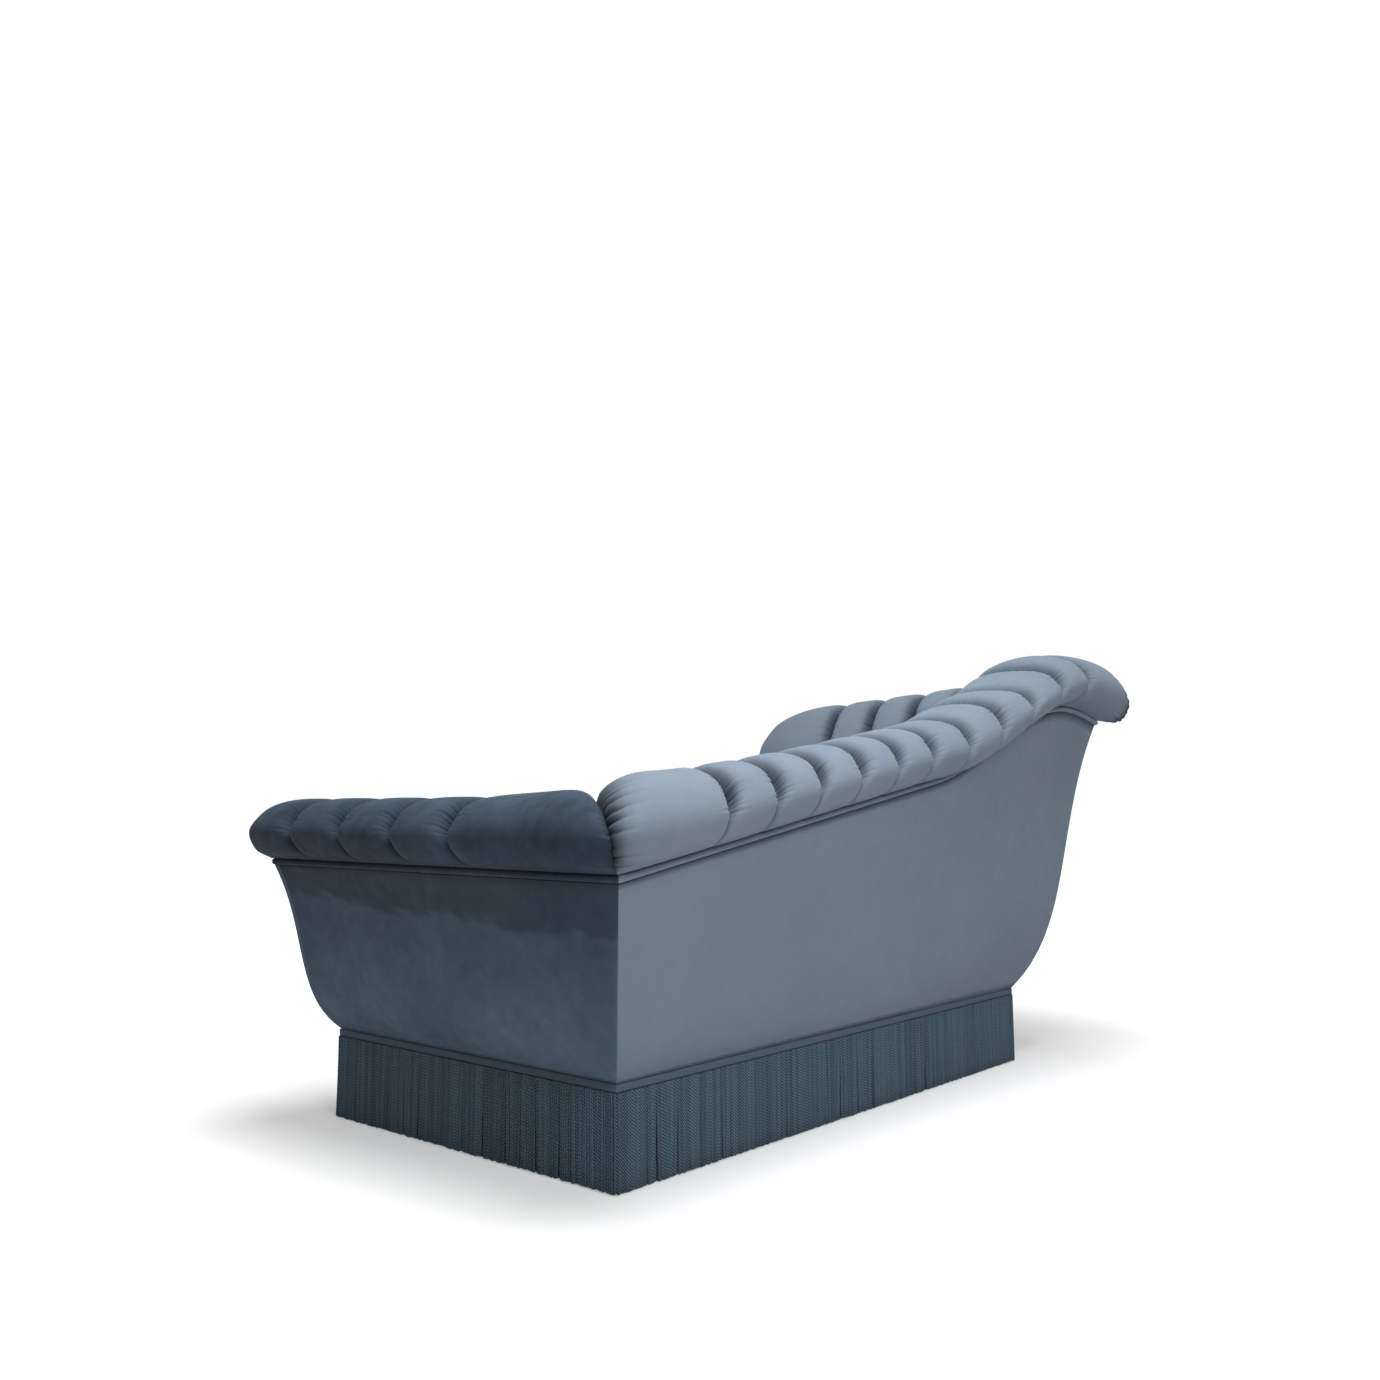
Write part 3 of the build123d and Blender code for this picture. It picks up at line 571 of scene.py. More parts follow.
# Groove along each plain seam: depth and reach
GROOVE = (0.0130, 0.0085)
# Reach in which folds sink within the seam's plane
SEAM_PINCH = 0.008
# Painted shade along a seam: its width, what each side adds on top of the roll, and its fade
SEAM_SHADE_WIDTH = 0.0040
SEAM_SHADOWS = (0.0135, 0.0045)
SEAM_FADE = 1.8
# Rows over which the gathers set in
TOP_ROW = 13
TOP_ROWS = 16


def outward(wall, across, down):
    """Unit vectors out of a flute."""
    _, along, face = WALLS[wall]
    hand = along[1] * face[0] - along[0] * face[1]
    normal = hand * np.cross(across, down)
    return normal / np.maximum(np.linalg.norm(normal, axis=-1, keepdims=True), 1e-9)


def gather(wall, grid, distances, seams, random):
    """Draws small folds into a flute at its seams, and paints shade along the seams and in the folds.
    """
    step = np.linalg.norm(np.diff(grid, axis=1, prepend=grid[:, :1]), axis=-1)
    length = np.cumsum(step, axis=1).mean(axis=0)
    row = np.arange(grid.shape[1]) / 2
    off_seat = np.clip((FACE_ROWS - 10 - row) / 10, 0, 1)
    on_top = np.clip((row - TOP_ROW) / TOP_ROWS, 0, 1) * off_seat
    all_round = np.clip((row - 2) / 6, 0, 1) * off_seat
    painted_shade = np.zeros(grid.shape[:2])
    moved = np.zeros_like(grid)
    down = np.gradient(grid, axis=1)
    normals = outward(wall, np.gradient(grid, axis=0), down)
    for seam, distance, shadow in zip(seams, distances, SEAM_SHADOWS):
        if seam == FRONT_END:
            continue
        shape = seam_shape(wall, seam)
        mitre = shape is not PLAIN_SEAM
        pitch, reach, depth = PLEATS if shape is BACK_MITRE else TICKS if mitre else PUCKERS
        knots = np.arange(0, length[-1] + 2 * pitch, pitch)
        knots = knots + random.uniform(-0.25, 0.25, len(knots)) * pitch
        strength = random.uniform(0.25, 1.0, len(knots))
        long = random.uniform(0.6, 1.5, len(knots))
        near = np.abs(length[:, None] - knots[None, :]).argmin(axis=1)
        across = np.abs(length - knots[near]) / (MITRE_FOLD if mitre else PLAIN_FOLD) / pitch
        fold = np.exp(-across if mitre else -(across**2)) * strength[near]
        fade = np.exp(-((np.abs(distance) / (reach * long[near])) ** 1.4))
        held = all_round if mitre else on_top
        sunk = depth * fold * fade * held
        if not mitre:
            groove = GROOVE[0] * np.exp(-np.abs(distance) / GROOVE[1])
            sunk += groove * (0.25 + 0.75 * held) * all_round
        _, along, face = WALLS[wall]
        in_seam = outward(wall, np.append(along - seam[1] * face, 0), down)
        close = np.exp(-np.abs(distance) / SEAM_PINCH)[..., None]
        moved -= sunk[..., None] * ((1 - close) * normals + close * in_seam)
        # Painted shade: dark along each seam, wider on one side and on top of the roll, and in each
        # fold
        dark = np.exp(-((np.abs(distance) / (SEAM_SHADE_WIDTH + shadow * held)) ** SEAM_FADE))
        line = dark * (0.40 + 0.60 * held)
        painted_shade = np.maximum(painted_shade, np.maximum(line, fold * fade * held))
    return grid + moved, painted_shade


FLUTE_PRESSURE = 3.0
FLUTE_SWELL = 0.004


def make_flutes(wall, material):
    """A wall's flutes, swollen and gathered."""
    random = np.random.default_rng(ord(wall[0]))
    pairs = list(zip(SEAMS[wall], SEAMS[wall][1:]))
    flutes = [flute_grid(wall, *pair) for pair in pairs]
    grids = np.array([flute[0] for flute in flutes])
    sewn = np.concatenate([sewn_points(grid, 2, FACE_ROWS - 5).ravel() for grid in grids])
    moved = stuff(f"{wall}_stuffing", grids, sewn, FLUTE_PRESSURE, FLUTE_SWELL)
    along = np.append(WALLS[wall][1], 0)
    moved = moved - (moved @ along)[:, None] * along
    grids = grids + moved.reshape(grids.shape)
    tubes, painted_shades = [], []
    for pair, grid, (_, *distances) in zip(pairs, grids, flutes):
        fine = refine_tube(grid, FACE_ROWS)
        away = [refine_tube(distance, FACE_ROWS) for distance in distances]
        gathered, painted_shade = gather(wall, fine, away, pair, random)
        tubes.append(gathered)
        painted_shades.append(painted_shade.ravel())
    piece = new_piece(f"{wall}_fluted_roll", tubes)
    # Painted shade along the seams and in the folds, which the velvet reads
    paint(piece, "painted_shade", np.concatenate(painted_shades))
    finish_piece(piece, "fluted_velvet", material, f"{wall}_flutes")


# Outside covers
COVER_ROWS = 34
COVER_EASE = 0.0007
CORNER_ROUND = 0.006
CORNER_GAP = 0.0001
RIM = 0.0013
RIM_INSET = 0.0006


def wall_cut(wall, share):
    """A cut through a wall at a share of its length, mitred at the corners."""
    first = SEAMS[wall][0]
    last = SEAMS[wall][-1] if wall == "back" else (WALL_END_RUN, 0)
    skew = first[1] * max(0, 1 - 4 * share) + last[1] * max(0, 4 * share - 3)
    low = first[0] + first[1] * FLARE + CORNER_GAP
    high = last[0] + last[1] * FLARE - CORNER_GAP
    return low + share * (high - low) - skew * FLARE, skew


# Painted shade of the roll on the foot end's cover: a band under the roll with a ragged edge, deeper
# towards the corner
ROLL_SHADE_DEPTH = 0.052
ROLL_SHADE_CORNER = 0.030
ROLL_SHADE_EDGE = 0.014
ROLL_SHADE_BAND = 0.78
ROLL_SHADE_BELOW = 0.42
EDGE_SHADE = 0.003


def painted_roll_shade(run, under):
    """Share of painted shade on the foot cover's pile at a distance under the piping."""
    ragged = 0.006 * math.sin(19 * run) + 0.004 * math.sin(61 * run + 1) + 0.002 * math.sin(149 * run)
    depth = ROLL_SHADE_DEPTH + ROLL_SHADE_CORNER * (1 - run / BASE_DEPTH) + ragged
    band = np.clip((depth - under) / ROLL_SHADE_EDGE + 0.5, 0, 1)
    below = np.clip((0.25 - under) / 0.15, 0, 1)
    return np.maximum(ROLL_SHADE_BAND * band, ROLL_SHADE_BELOW * below)


def make_cover(wall, columns, material):
    """Velvet stretched over the outside of a wall and tucked under the piping."""
    t = np.linspace(0, 1, COVER_ROWS)
    loops, painted_shades = [], []
    for share in (1 - np.cos(np.linspace(0, 1, columns) * math.pi)) / 2:
        start, skew = wall_cut(wall, share)
        run = start + skew * FLARE
        welt = welt_height(wall, run)
        z = BODY_BOTTOM + t * (welt - BODY_BOTTOM)
        out = FLARE * flare_share(t)
        to_mitre = run + FLARE
        if wall == "back":
            to_mitre = min(to_mitre, BASE_LENGTH + FLARE - run)
        ease = COVER_EASE * np.sin(9 * share + 3 * t) * np.sin(math.pi * t)
        corner = 0.2 * CORNER_ROUND * max(0, 1 - to_mitre / CORNER_ROUND) ** 2
        rim = np.array((FLARE - RIM_INSET, FLARE - COVER)) - corner
        loop_out = np.concatenate([out + ease - corner, rim, (out - COVER - corner)[::-1]])
        loop_z = np.concatenate([z, np.full(2, welt + RIM), z[::-1]])
        loops.append(on_wall(wall, start + skew * loop_out, loop_out, loop_z))
        # Painted shade along the cover's top under the piping and along its foot above the header; the
        # rim tucked under the piping is painted fully shaded
        edge = np.exp(-(welt - z) / EDGE_SHADE) + np.exp(-(z - BODY_BOTTOM) / EDGE_SHADE)
        # The foot end's cover also takes the painted shade of its roll
        if wall == "foot":
            edge = edge + painted_roll_shade(run, welt - z)
        painted_shades.append(np.concatenate([edge, np.ones(2), edge[::-1]]))
    piece = new_piece(f"{wall}_outside_velvet", [np.array(loops)])
    paint(piece, "painted_shade", np.clip(np.array(painted_shades), 0, 1))
    finish_piece(piece, "velvet", material, f"{wall}_outside_cover")


# Piping
PIPING_SIDES = 12
PIPING_SNUG = 0.0003
PIPING_FRONT = 0.006


def make_piping(wall, columns, material):
    """Covered cord between the roll and the outside cover."""
    angle = np.arange(PIPING_SIDES) * 2 * math.pi / PIPING_SIDES
    radius = PIPING_RADIUS - PIPING_SNUG
    last = BASE_LENGTH + FLARE - CORNER_GAP if wall == "back" else BASE_DEPTH - PIPING_FRONT
    loops = []
    for i, run in enumerate(np.linspace(-FLARE + CORNER_GAP, last, columns)):
        skew = -1 if i == 0 else 1 if wall == "back" and i == columns - 1 else 0
        wobble = 0.0003 * math.sin(run * 61) + 0.0002 * math.sin(run * 143)
        out = radius * np.cos(angle) + wobble
        z = welt_height(wall, run) + PIPING_CLEARANCE + PIPING_RADIUS + radius * np.sin(angle)
        loops.append(on_wall(wall, run + skew * out, FLARE + out, z))
    piece = new_piece(f"{wall}_piping_cord", [np.array(loops)])
    finish_piece(piece, "piping", material, f"{wall}_piping")


# Fringe
CORD_PITCH = 0.0050
CORD_RADIUS = 0.0030
CORD_SIDES = 6
CORD_CUTS = 5
CORD_LEAN = 0.0040
CORD_PROUD = 0.0040
CORD_FLOOR_GAP = 0.0012
FRINGE_CORNER = 0.001
LINING_BACK = 0.0045
LINING_SHORT = 0.018
CORNER_CORDS = 8


def model_cord(length):
    """One cord of the fringe, with a rounded lower end."""
    deselect_all()
    middle = (0, 0, -length / 2)
    bpy.ops.mesh.primitive_cylinder_add(
        vertices=CORD_SIDES, radius=CORD_RADIUS, depth=length, location=middle
    )
    cord = settle("cord", (1, 1, 1))
    select_faces(cord, lambda centre, normal: normal.z < -0.9)
    bpy.ops.mesh.inset(thickness=CORD_RADIUS * 0.4, depth=CORD_RADIUS * 0.5)
    bpy.ops.mesh.select_mode(type="EDGE")
    bpy.ops.mesh.select_all(action="DESELECT")
    set_mode("OBJECT")
    heights = coordinates(cord)[:, 2]
    for edge in cord.data.edges:
        drop = abs(heights[edge.vertices[0]] - heights[edge.vertices[1]])
        edge.select = bool(drop > 0.9 * length)
    set_mode("EDIT")
    bpy.ops.mesh.subdivide(number_cuts=CORD_CUTS)
    set_mode("OBJECT")
    return cord


def twist_map(cord):
    """Twist coordinates: round the cord, and down it."""
    model = coordinates(cord)
    around = np.arctan2(model[:, 1], model[:, 0]) / (2 * math.pi) + 0.5
    corners = []
    for face in cord.data.polygons:
        turns = around[list(face.vertices)]
        turns = np.where(turns.max() - turns > 0.6, turns + 1, turns)
        corners += [(turn, -model[v, 2]) for turn, v in zip(turns, face.vertices)]
    return np.array(corners)


def clumped(count, pitch, random):
    """Sideways pull of cords that hang in clumps."""
    pull = np.zeros(count)
    first = 0
    while first < count:
        last = min(count, first + random.integers(3, 12))
        place = np.arange(first, last)
        pull[first:last] = (place.mean() - place) * pitch * random.uniform(0.05, 0.5) ** 2
        first = last
    pull[:CORNER_CORDS] = pull[-CORNER_CORDS:] = 0
    return pull


def hang_cords(cord, middle, along, face, length, proud, random):
    """Points and tones of cords hung side by side."""
    count = round(length / CORD_PITCH)
    pitch = length / count
    model = coordinates(cord)
    share = model[:, 2] / model[:, 2].min()
    pull = clumped(count, pitch, random)
    points, tones = [], []
    for i in range(count):
        turn = random.uniform(0, 2 * math.pi)
        x = math.cos(turn) * model[:, 0] - math.sin(turn) * model[:, 1]
        y = math.sin(turn) * model[:, 0] + math.cos(turn) * model[:, 1]
        sway = random.normal(0, 0.0005) * np.sin(math.pi * share)
        place = ((i + 0.5) * pitch - length / 2) * (1 + 2 * CORD_LEAN / length * share)
        run = place + x + pull[i] * share + sway
        out = proud - CORD_RADIUS + y + CORD_LEAN * random.uniform(0.7, 1.0) * share
        z = BODY_BOTTOM - HEADER_HEIGHT - CLEARANCE + model[:, 2] * (1 - random.uniform(0, 0.012))
        plan = np.array(middle) + np.outer(run, along) + np.outer(out, face)
        points.append(np.column_stack([plan, z]))
        tones.append(np.full(len(model), random.uniform(0, 1)))
    return points, tones


def make_fringe(name, middle, along, face, length, material, random):
    """Bullion fringe of one side, in two layers of cords."""
    drop = BODY_BOTTOM - HEADER_HEIGHT - CLEARANCE - CORD_FLOOR_GAP
    cord = model_cord(drop - CORD_RADIUS * 0.5)
    points, tones = hang_cords(cord, middle, along, face, length, CORD_PROUD, random)
    proud = CORD_PROUD - LINING_BACK
    lining = hang_cords(cord, middle, along, face, length - LINING_SHORT, proud, random)
    points, tones = points + lining[0], tones + lining[1]
    size = len(cord.data.vertices)
    outline = [list(side.vertices) for side in cord.data.polygons]
    faces = [[i * size + v for v in corners] for i in range(len(points)) for corners in outline]
    piece = link_mesh(f"{name}_bullion_fringe", np.concatenate(points), faces)
    paint(piece, "tone", np.concatenate(tones))
    twist = np.tile(twist_map(cord), (len(points), 1))
    piece.data.uv_layers.new(name="twist").data.foreach_set("uv", twist.ravel())
    bpy.data.objects.remove(cord)
    smooth_shade(piece, 65)
    finish_piece(piece, "fringe", material, f"{name}_fringe")


HEADER_BAND = 0.0045
HEADER_GAP = 0.0001


def make_header(material):
    """Woven band round the base that carries the cords."""
    low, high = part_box("fringe_header")
    top = BODY_BOTTOM - HEADER_GAP
    piece = add_box("fringe_header_band", low, (high.x, high.y, top))
    select_faces(piece, lambda centre, normal: abs(normal.z) > 0.9)
    bpy.ops.mesh.delete(type="FACE")
    set_mode("OBJECT")
    apply_modifier(piece, "SOLIDIFY", thickness=HEADER_BAND, offset=-1, use_even_offset=True)
    apply_modifier(piece, "BEVEL", width=0.0012, segments=3, limit_method="ANGLE")
    smooth_shade(piece, 40)
    finish_piece(piece, "fringe_header", material, "fringe_header")


# Seat, border and facings
SEAT_COLUMNS = 41
SEAT_ROWS = (3, 6, 5, 5, 8, 9, 9, 8, 4, 6)
SEAT_FACE_ROWS = sum(SEAT_ROWS) + 1
SEAT_PRESSURE = 2.0
SEAT_SWELL = 0.008
SEAT_CLEARANCE = 0.002


def seat_loop(share):
    """Outline of the tight seat at a share of its half length."""
    back = BACK_Y - SEAT_WALL - SEAT_CLEARANCE
    front = FRONT_Y - FRONT_PROUD + SEAT_CLEARANCE
    edge = SEAT_EDGE - 0.012 * (1 - math.sqrt(max(0, 1 - abs(share) ** 8)))
    crown = edge + (SEAT_CROWN - SEAT_EDGE) * (1 - share**2)
    keys = [
        (front + 0.004, TUCK_HEIGHT + 0.002),
        (front, TUCK_HEIGHT + 0.030),
        (front + 0.002, edge - 0.022),
        (front + 0.013, edge - 0.006),
        (front + 0.036, edge + 0.002),
        (front + 0.16, edge + 0.8 * (crown - edge)),
        ((front + back) / 2, crown),
        (back - 0.13, edge + 0.7 * (crown - edge)),
        (back - 0.02, edge),
        (back - 0.002, edge - 0.014),
        (back, TUCK_HEIGHT + 0.002),
    ]
    line = smooth_line(np.array(keys), SEAT_ROWS)
    return np.concatenate([line, np.linspace(line[-1], line[0], 8)[1:-1]])


def make_seat(material):
    """Tight seat with a crown and a rolled front edge."""
    half = HALF_LENGTH - SEAT_WALL - SEAT_CLEARANCE
    loops = []
    for share in np.sin(np.linspace(-1, 1, SEAT_COLUMNS) * math.pi / 2):
        loop = seat_loop(share)
        loops.append(np.column_stack([np.full(len(loop), share * half), loop]))
    grid = np.array(loops)
    sewn = sewn_points(grid, 3, SEAT_FACE_ROWS - 6)
    moved = stuff("seat_stuffing", [grid], sewn, SEAT_PRESSURE, SEAT_SWELL)
    grid = grid + moved.reshape(grid.shape)
    piece = new_piece("tight_seat", [refine_tube(grid, SEAT_FACE_ROWS)])
    finish_piece(piece, "velvet", material, "seat_cover", "seat_foam")


FACING_STEP = 0.012
FACING_EDGE = 0.005
FACING_GAP = 0.0008


def facing_outline(wall):
    """Outline of the front of an end wall."""
    welt = welt_height(wall, BASE_DEPTH)
    top = welt + TOP_RAIL_RISE
    t = np.linspace(0, 1, 26)
    outside = np.column_stack([FLARE * flare_share(t), BODY_BOTTOM + t * (welt - BODY_BOTTOM)])
    tuck = TUCK_HEIGHT - FACING_GAP
    behind_cord = FLARE - PIPING_RADIUS - FACING_GAP
    under_roll = welt + PIPING_SPACE - HEM_DROP - FACING_GAP
    corners = [
        (FLARE - RIM_INSET, welt + RIM),
        (behind_cord, welt + RIM),
        (behind_cord, under_roll),
        (FLARE - TOP_RAIL_INSET, under_roll),
        (FLARE - TOP_RAIL_INSET, top),
        (inside_line(top, welt) + FACING_GAP, top),
        (inside_line(TUCK_HEIGHT, welt) + FACING_GAP, tuck),
        (-SEAT_WALL + FACING_GAP, tuck),
        (-SEAT_WALL + FACING_GAP, BODY_BOTTOM),
        tuple(outside[0]),
    ]
    stretches = [outside]
    previous = outside[-1]
    for corner in corners:
        steps = max(1, round(math.dist(previous, corner) / FACING_STEP))
        stretches.append(np.linspace(previous, corner, steps + 1)[1:])
        previous = corner
    return np.concatenate(stretches)[:-1]


def make_facing(wall, material):
    """Padded facing on the front of an end wall."""
    outline = facing_outline(wall)
    after = np.roll(outline, -1, axis=0) - outline
    before = outline - np.roll(outline, 1, axis=0)
    tangent = after / np.linalg.norm(after, axis=1, keepdims=True)
    tangent = tangent + before / np.linalg.norm(before, axis=1, keepdims=True)
    inward = np.column_stack([-tangent[:, 1], tangent[:, 0]])
    inward = inward / np.linalg.norm(inward, axis=1, keepdims=True)
    steps = [(0, 0), (FACING - FACING_EDGE, 0)]
    for turn in np.linspace(0.3, 1.5, 5):
        forward = FACING - FACING_EDGE * (1 - math.sin(turn))
        steps.append((forward, FACING_EDGE * (1 - math.cos(turn))))
    loops = []
    for forward, inset in steps:
        edge = outline + inward * (inset, 0)
        loops.append(on_wall(wall, WALL_END_RUN + FACING_GAP / 2 + forward, edge[:, 0], edge[:, 1]))
    piece = new_piece(f"{wall}_front_panel", [np.array(loops)])
    finish_piece(piece, "velvet", material, f"{wall}_front_facing")


BORDER_EDGE = 0.004
BORDER_GAP = 0.0005


def make_border(material):
    """Padded border under the front of the seat."""
    low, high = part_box("front_border")
    bottom = min(low.z, BODY_BOTTOM)
    corners = (low.x + BORDER_GAP, low.y, bottom), (high.x - BORDER_GAP, high.y, high.z)
    piece = add_box("front_border_panel", *corners)
    apply_modifier(piece, "BEVEL", width=BORDER_EDGE, segments=4, limit_method="ANGLE")
    points = coordinates(piece)
    points[points[:, 2] < bottom + 1.05 * BORDER_EDGE, 2] = bottom
    set_coordinates(piece, points)
    smooth_shade(piece, 40)
    finish_piece(piece, "velvet", material, "front_border")


def make_webbing(node, material):
    """Jute straps with softened edges."""
    piece = nodes[node].copy()
    piece.data = piece.data.copy()
    piece.name = f"{node}_straps"
    scene.collection.objects.link(piece)
    make_active(piece)
    set_mode("EDIT")
    bpy.ops.mesh.select_all(action="SELECT")
    bpy.ops.mesh.remove_doubles(threshold=0.00001)
    bpy.ops.mesh.tris_convert_to_quads()
    set_mode("OBJECT")
    apply_modifier(piece, "BEVEL", width=0.0006, segments=2, limit_method="ANGLE")
    smooth_shade(piece, 40)
    finish_piece(piece, "webbing", material, node)


FOOT_HALF = 0.031
FOOT_NOTCH = 0.042


def make_dust_cover(material):
    """Thin cloth under the frame, cut away round the feet."""
    low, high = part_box("dust_cover")
    middle = ((low.x + high.x) / 2, (low.y + high.y) / 2, (low.z + high.z) / 2)
    size = (high.x - low.x, high.y - low.y)
    deselect_all()
    bpy.ops.mesh.primitive_grid_add(x_subdivisions=64, y_subdivisions=36, size=1, location=middle)
    piece = settle("dust_cloth", (*size, 1))
    points = coordinates(piece)
    sag = np.cos(points[:, 0] * 7) * np.cos((points[:, 1] - middle[1]) * 9)
    points[:, 2] -= 0.0012 * np.maximum(sag, 0)
    set_coordinates(piece, points)
    feet_low, feet_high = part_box("feet")
    column = (feet_high.x - feet_low.x) / 2 - FOOT_HALF
    row = (feet_high.y - feet_low.y) / 2 - FOOT_HALF

    def by_a_foot(centre, normal):
        x, y = abs(centre.x), abs(centre.y - (feet_low.y + feet_high.y) / 2)
        return min(x, abs(x - column)) < FOOT_NOTCH and abs(y - row) < FOOT_NOTCH

    select_faces(piece, by_a_foot)
    bpy.ops.mesh.delete(type="FACE")
    set_mode("OBJECT")
    apply_modifier(piece, "SOLIDIFY", thickness=0.0008, offset=0)
    finish_piece(piece, "dust_cloth", material, "dust_cover")


# Materials
class Surface:
    """Nodes of a material, a group or the world. An input is a value or another node's output."""

    def __init__(self, tree):
        self.tree = tree

    def feed(self, inputs, values):
        for key, value in values.items():
            if isinstance(value, bpy.types.NodeSocket):
                self.tree.links.new(value, inputs[key])
            else:
                inputs[key].default_value = value

    def add(self, kind, values, **settings):
        """Adds a node, and gives its outputs."""
        node = self.tree.nodes.new(f"ShaderNode{kind}")
        for key, value in settings.items():
            setattr(node, key, value)
        self.feed(node.inputs, values)
        return node.outputs

    def place(self, kind="Object"):
        return self.add("TexCoord", {})[kind]

    def attribute(self, name):
        return self.add("Attribute", {}, attribute_name=name)["Fac"]

    def noise(self, vector, scale, detail, roughness=0.5):
        values = {"Vector": vector, "Scale": scale, "Detail": detail, "Roughness": roughness}
        return self.add("TexNoise", values)["Fac"]

    def mix(self, factor, a, b, blend="MIX"):
        return self.add("Mix", {0: factor, 6: a, 7: b}, data_type="RGBA", blend_type=blend)[2]

    def maths(self, operation, a, b):
        return self.add("Math", {0: a, 1: b}, operation=operation)[0]

    def weighted(self, a, share_a, b, share_b):
        """Sum of two values, each at its own share."""
        first, second = self.maths("MULTIPLY", a, share_a), self.maths("MULTIPLY", b, share_b)
        return self.maths("ADD", first, second)

    def remap(self, value, low, high, to_low, to_high):
        ends = {"From Min": low, "From Max": high, "To Min": to_low, "To Max": to_high}
        return self.add("MapRange", {"Value": value, **ends})["Result"]

    def bump(self, height, strength, distance):
        values = {"Height": height, "Strength": strength, "Distance": distance}
        return self.add("Bump", values)["Normal"]

    def use_group(self, shader, group, values, strength, distance):
        """Lets a surface's group drive a shader."""
        made = self.add("Group", values, node_tree=group)
        normal = self.bump(made["Height"], strength, distance)
        driven = {"Base Color": made["Colour"], "Roughness": made["Roughness"], "Normal": normal}
        self.feed(shader, driven)


def new_material(name, fixed):
    """A Principled material with some fixed inputs."""
    material = bpy.data.materials.new(name)
    material.use_nodes = True
    s = Surface(material.node_tree)
    shader = material.node_tree.nodes["Principled BSDF"].inputs
    s.feed(shader, fixed)
    return material, s, shader


def new_group(name, inputs):
    """A surface's group: colour, roughness and height."""
    group = bpy.data.node_groups.new(name, "ShaderNodeTree")
    outputs = (("Colour", "Color"), ("Roughness", "Float"), ("Height", "Float"))
    for side, sockets in (("INPUT", inputs), ("OUTPUT", outputs)):
        for label, kind in sockets:
            group.interface.new_socket(label, in_out=side, socket_type=f"NodeSocket{kind}")
    given, result = group.nodes.new("NodeGroupInput"), group.nodes.new("NodeGroupOutput")
    return Surface(group), given.outputs, result.inputs


PAINTED_SHADE_STRENGTH = 0.86
PAINTED_SHADE_COLOUR = (0.010, 0.017, 0.027, 1)


def velvet_group():
    """Pile that shades with its lie: broad brushed patches, fine pile, and painted shade where the mesh
    is painted dark.
    """
    inputs = (("Pile", "Color"), ("Shade", "Color"), ("Painted Shade", "Float"))
    s, given, result = new_group("velvet_pile", inputs)
    place = s.place()
    broad = s.remap(s.noise(place, 5.5, 3, 0.55), 0.32, 0.68, 0.0, 1.0)
    brushed = s.remap(s.noise(place, 38, 4, 0.6), 0.3, 0.7, 0.0, 1.0)
    fine = s.noise(place, 1400, 2)
    lie = s.weighted(broad, 0.62, brushed, 0.38)
    colour = s.mix(lie, given["Shade"], given["Pile"])
    colour = s.mix(1.0, colour, s.remap(fine, 0.25, 0.75, 0.90, 1.10), "MULTIPLY")
    # Painted shade: the pile darkens towards a deep blue where the mesh's painted-shade values are high
    dark = s.maths("MULTIPLY", given["Painted Shade"], PAINTED_SHADE_STRENGTH)
    colour = s.mix(dark, colour, PAINTED_SHADE_COLOUR)
    roughness = s.remap(brushed, 0, 1, 0.88, 0.74)
    height = s.weighted(fine, 0.6, brushed, 0.6)
    s.feed(result, {"Colour": colour, "Roughness": roughness, "Height": height})
    return s.tree


SHEEN_TINT = (0.70, 0.85, 1.0, 1)
# Painted-shade copies of the velvet keep their unshaded colours on faces turned towards the seat and
# the front
UNSHADED_TOWARDS = (-0.8, -0.6, 0)


def velvet(name, group, pile, shade, sheen, unshaded_colours=None):
    """Velvet; a painted-shade copy takes its unshaded colours on faces turned towards the seat and the
    front.
    """
    fixed = {"Specular IOR Level": 0.10, "Sheen Roughness": 0.55, "Sheen Tint": SHEEN_TINT}
    material, s, shader = new_material(name, {**fixed, "Sheen Weight": sheen})
    colours = [(*pile, 1), (*shade, 1)]
    if unshaded_colours:
        sides = {0: s.place("Normal"), 1: UNSHADED_TOWARDS}
        facing = s.add("VectorMath", sides, operation="DOT_PRODUCT")["Value"]
        turned = s.remap(facing, 0.2, 0.6, 0.0, 1.0)
        colours = [s.mix(turned, near, (*far, 1)) for near, far in zip(colours, unshaded_colours)]
    values = {"Pile": colours[0], "Shade": colours[1], "Painted Shade": s.attribute("painted_shade")}
    s.use_group(shader, group, values, 0.25, 0.0006)
    return material


STROKE_PITCH = 0.0052
STROKE_TURNS = -4.0


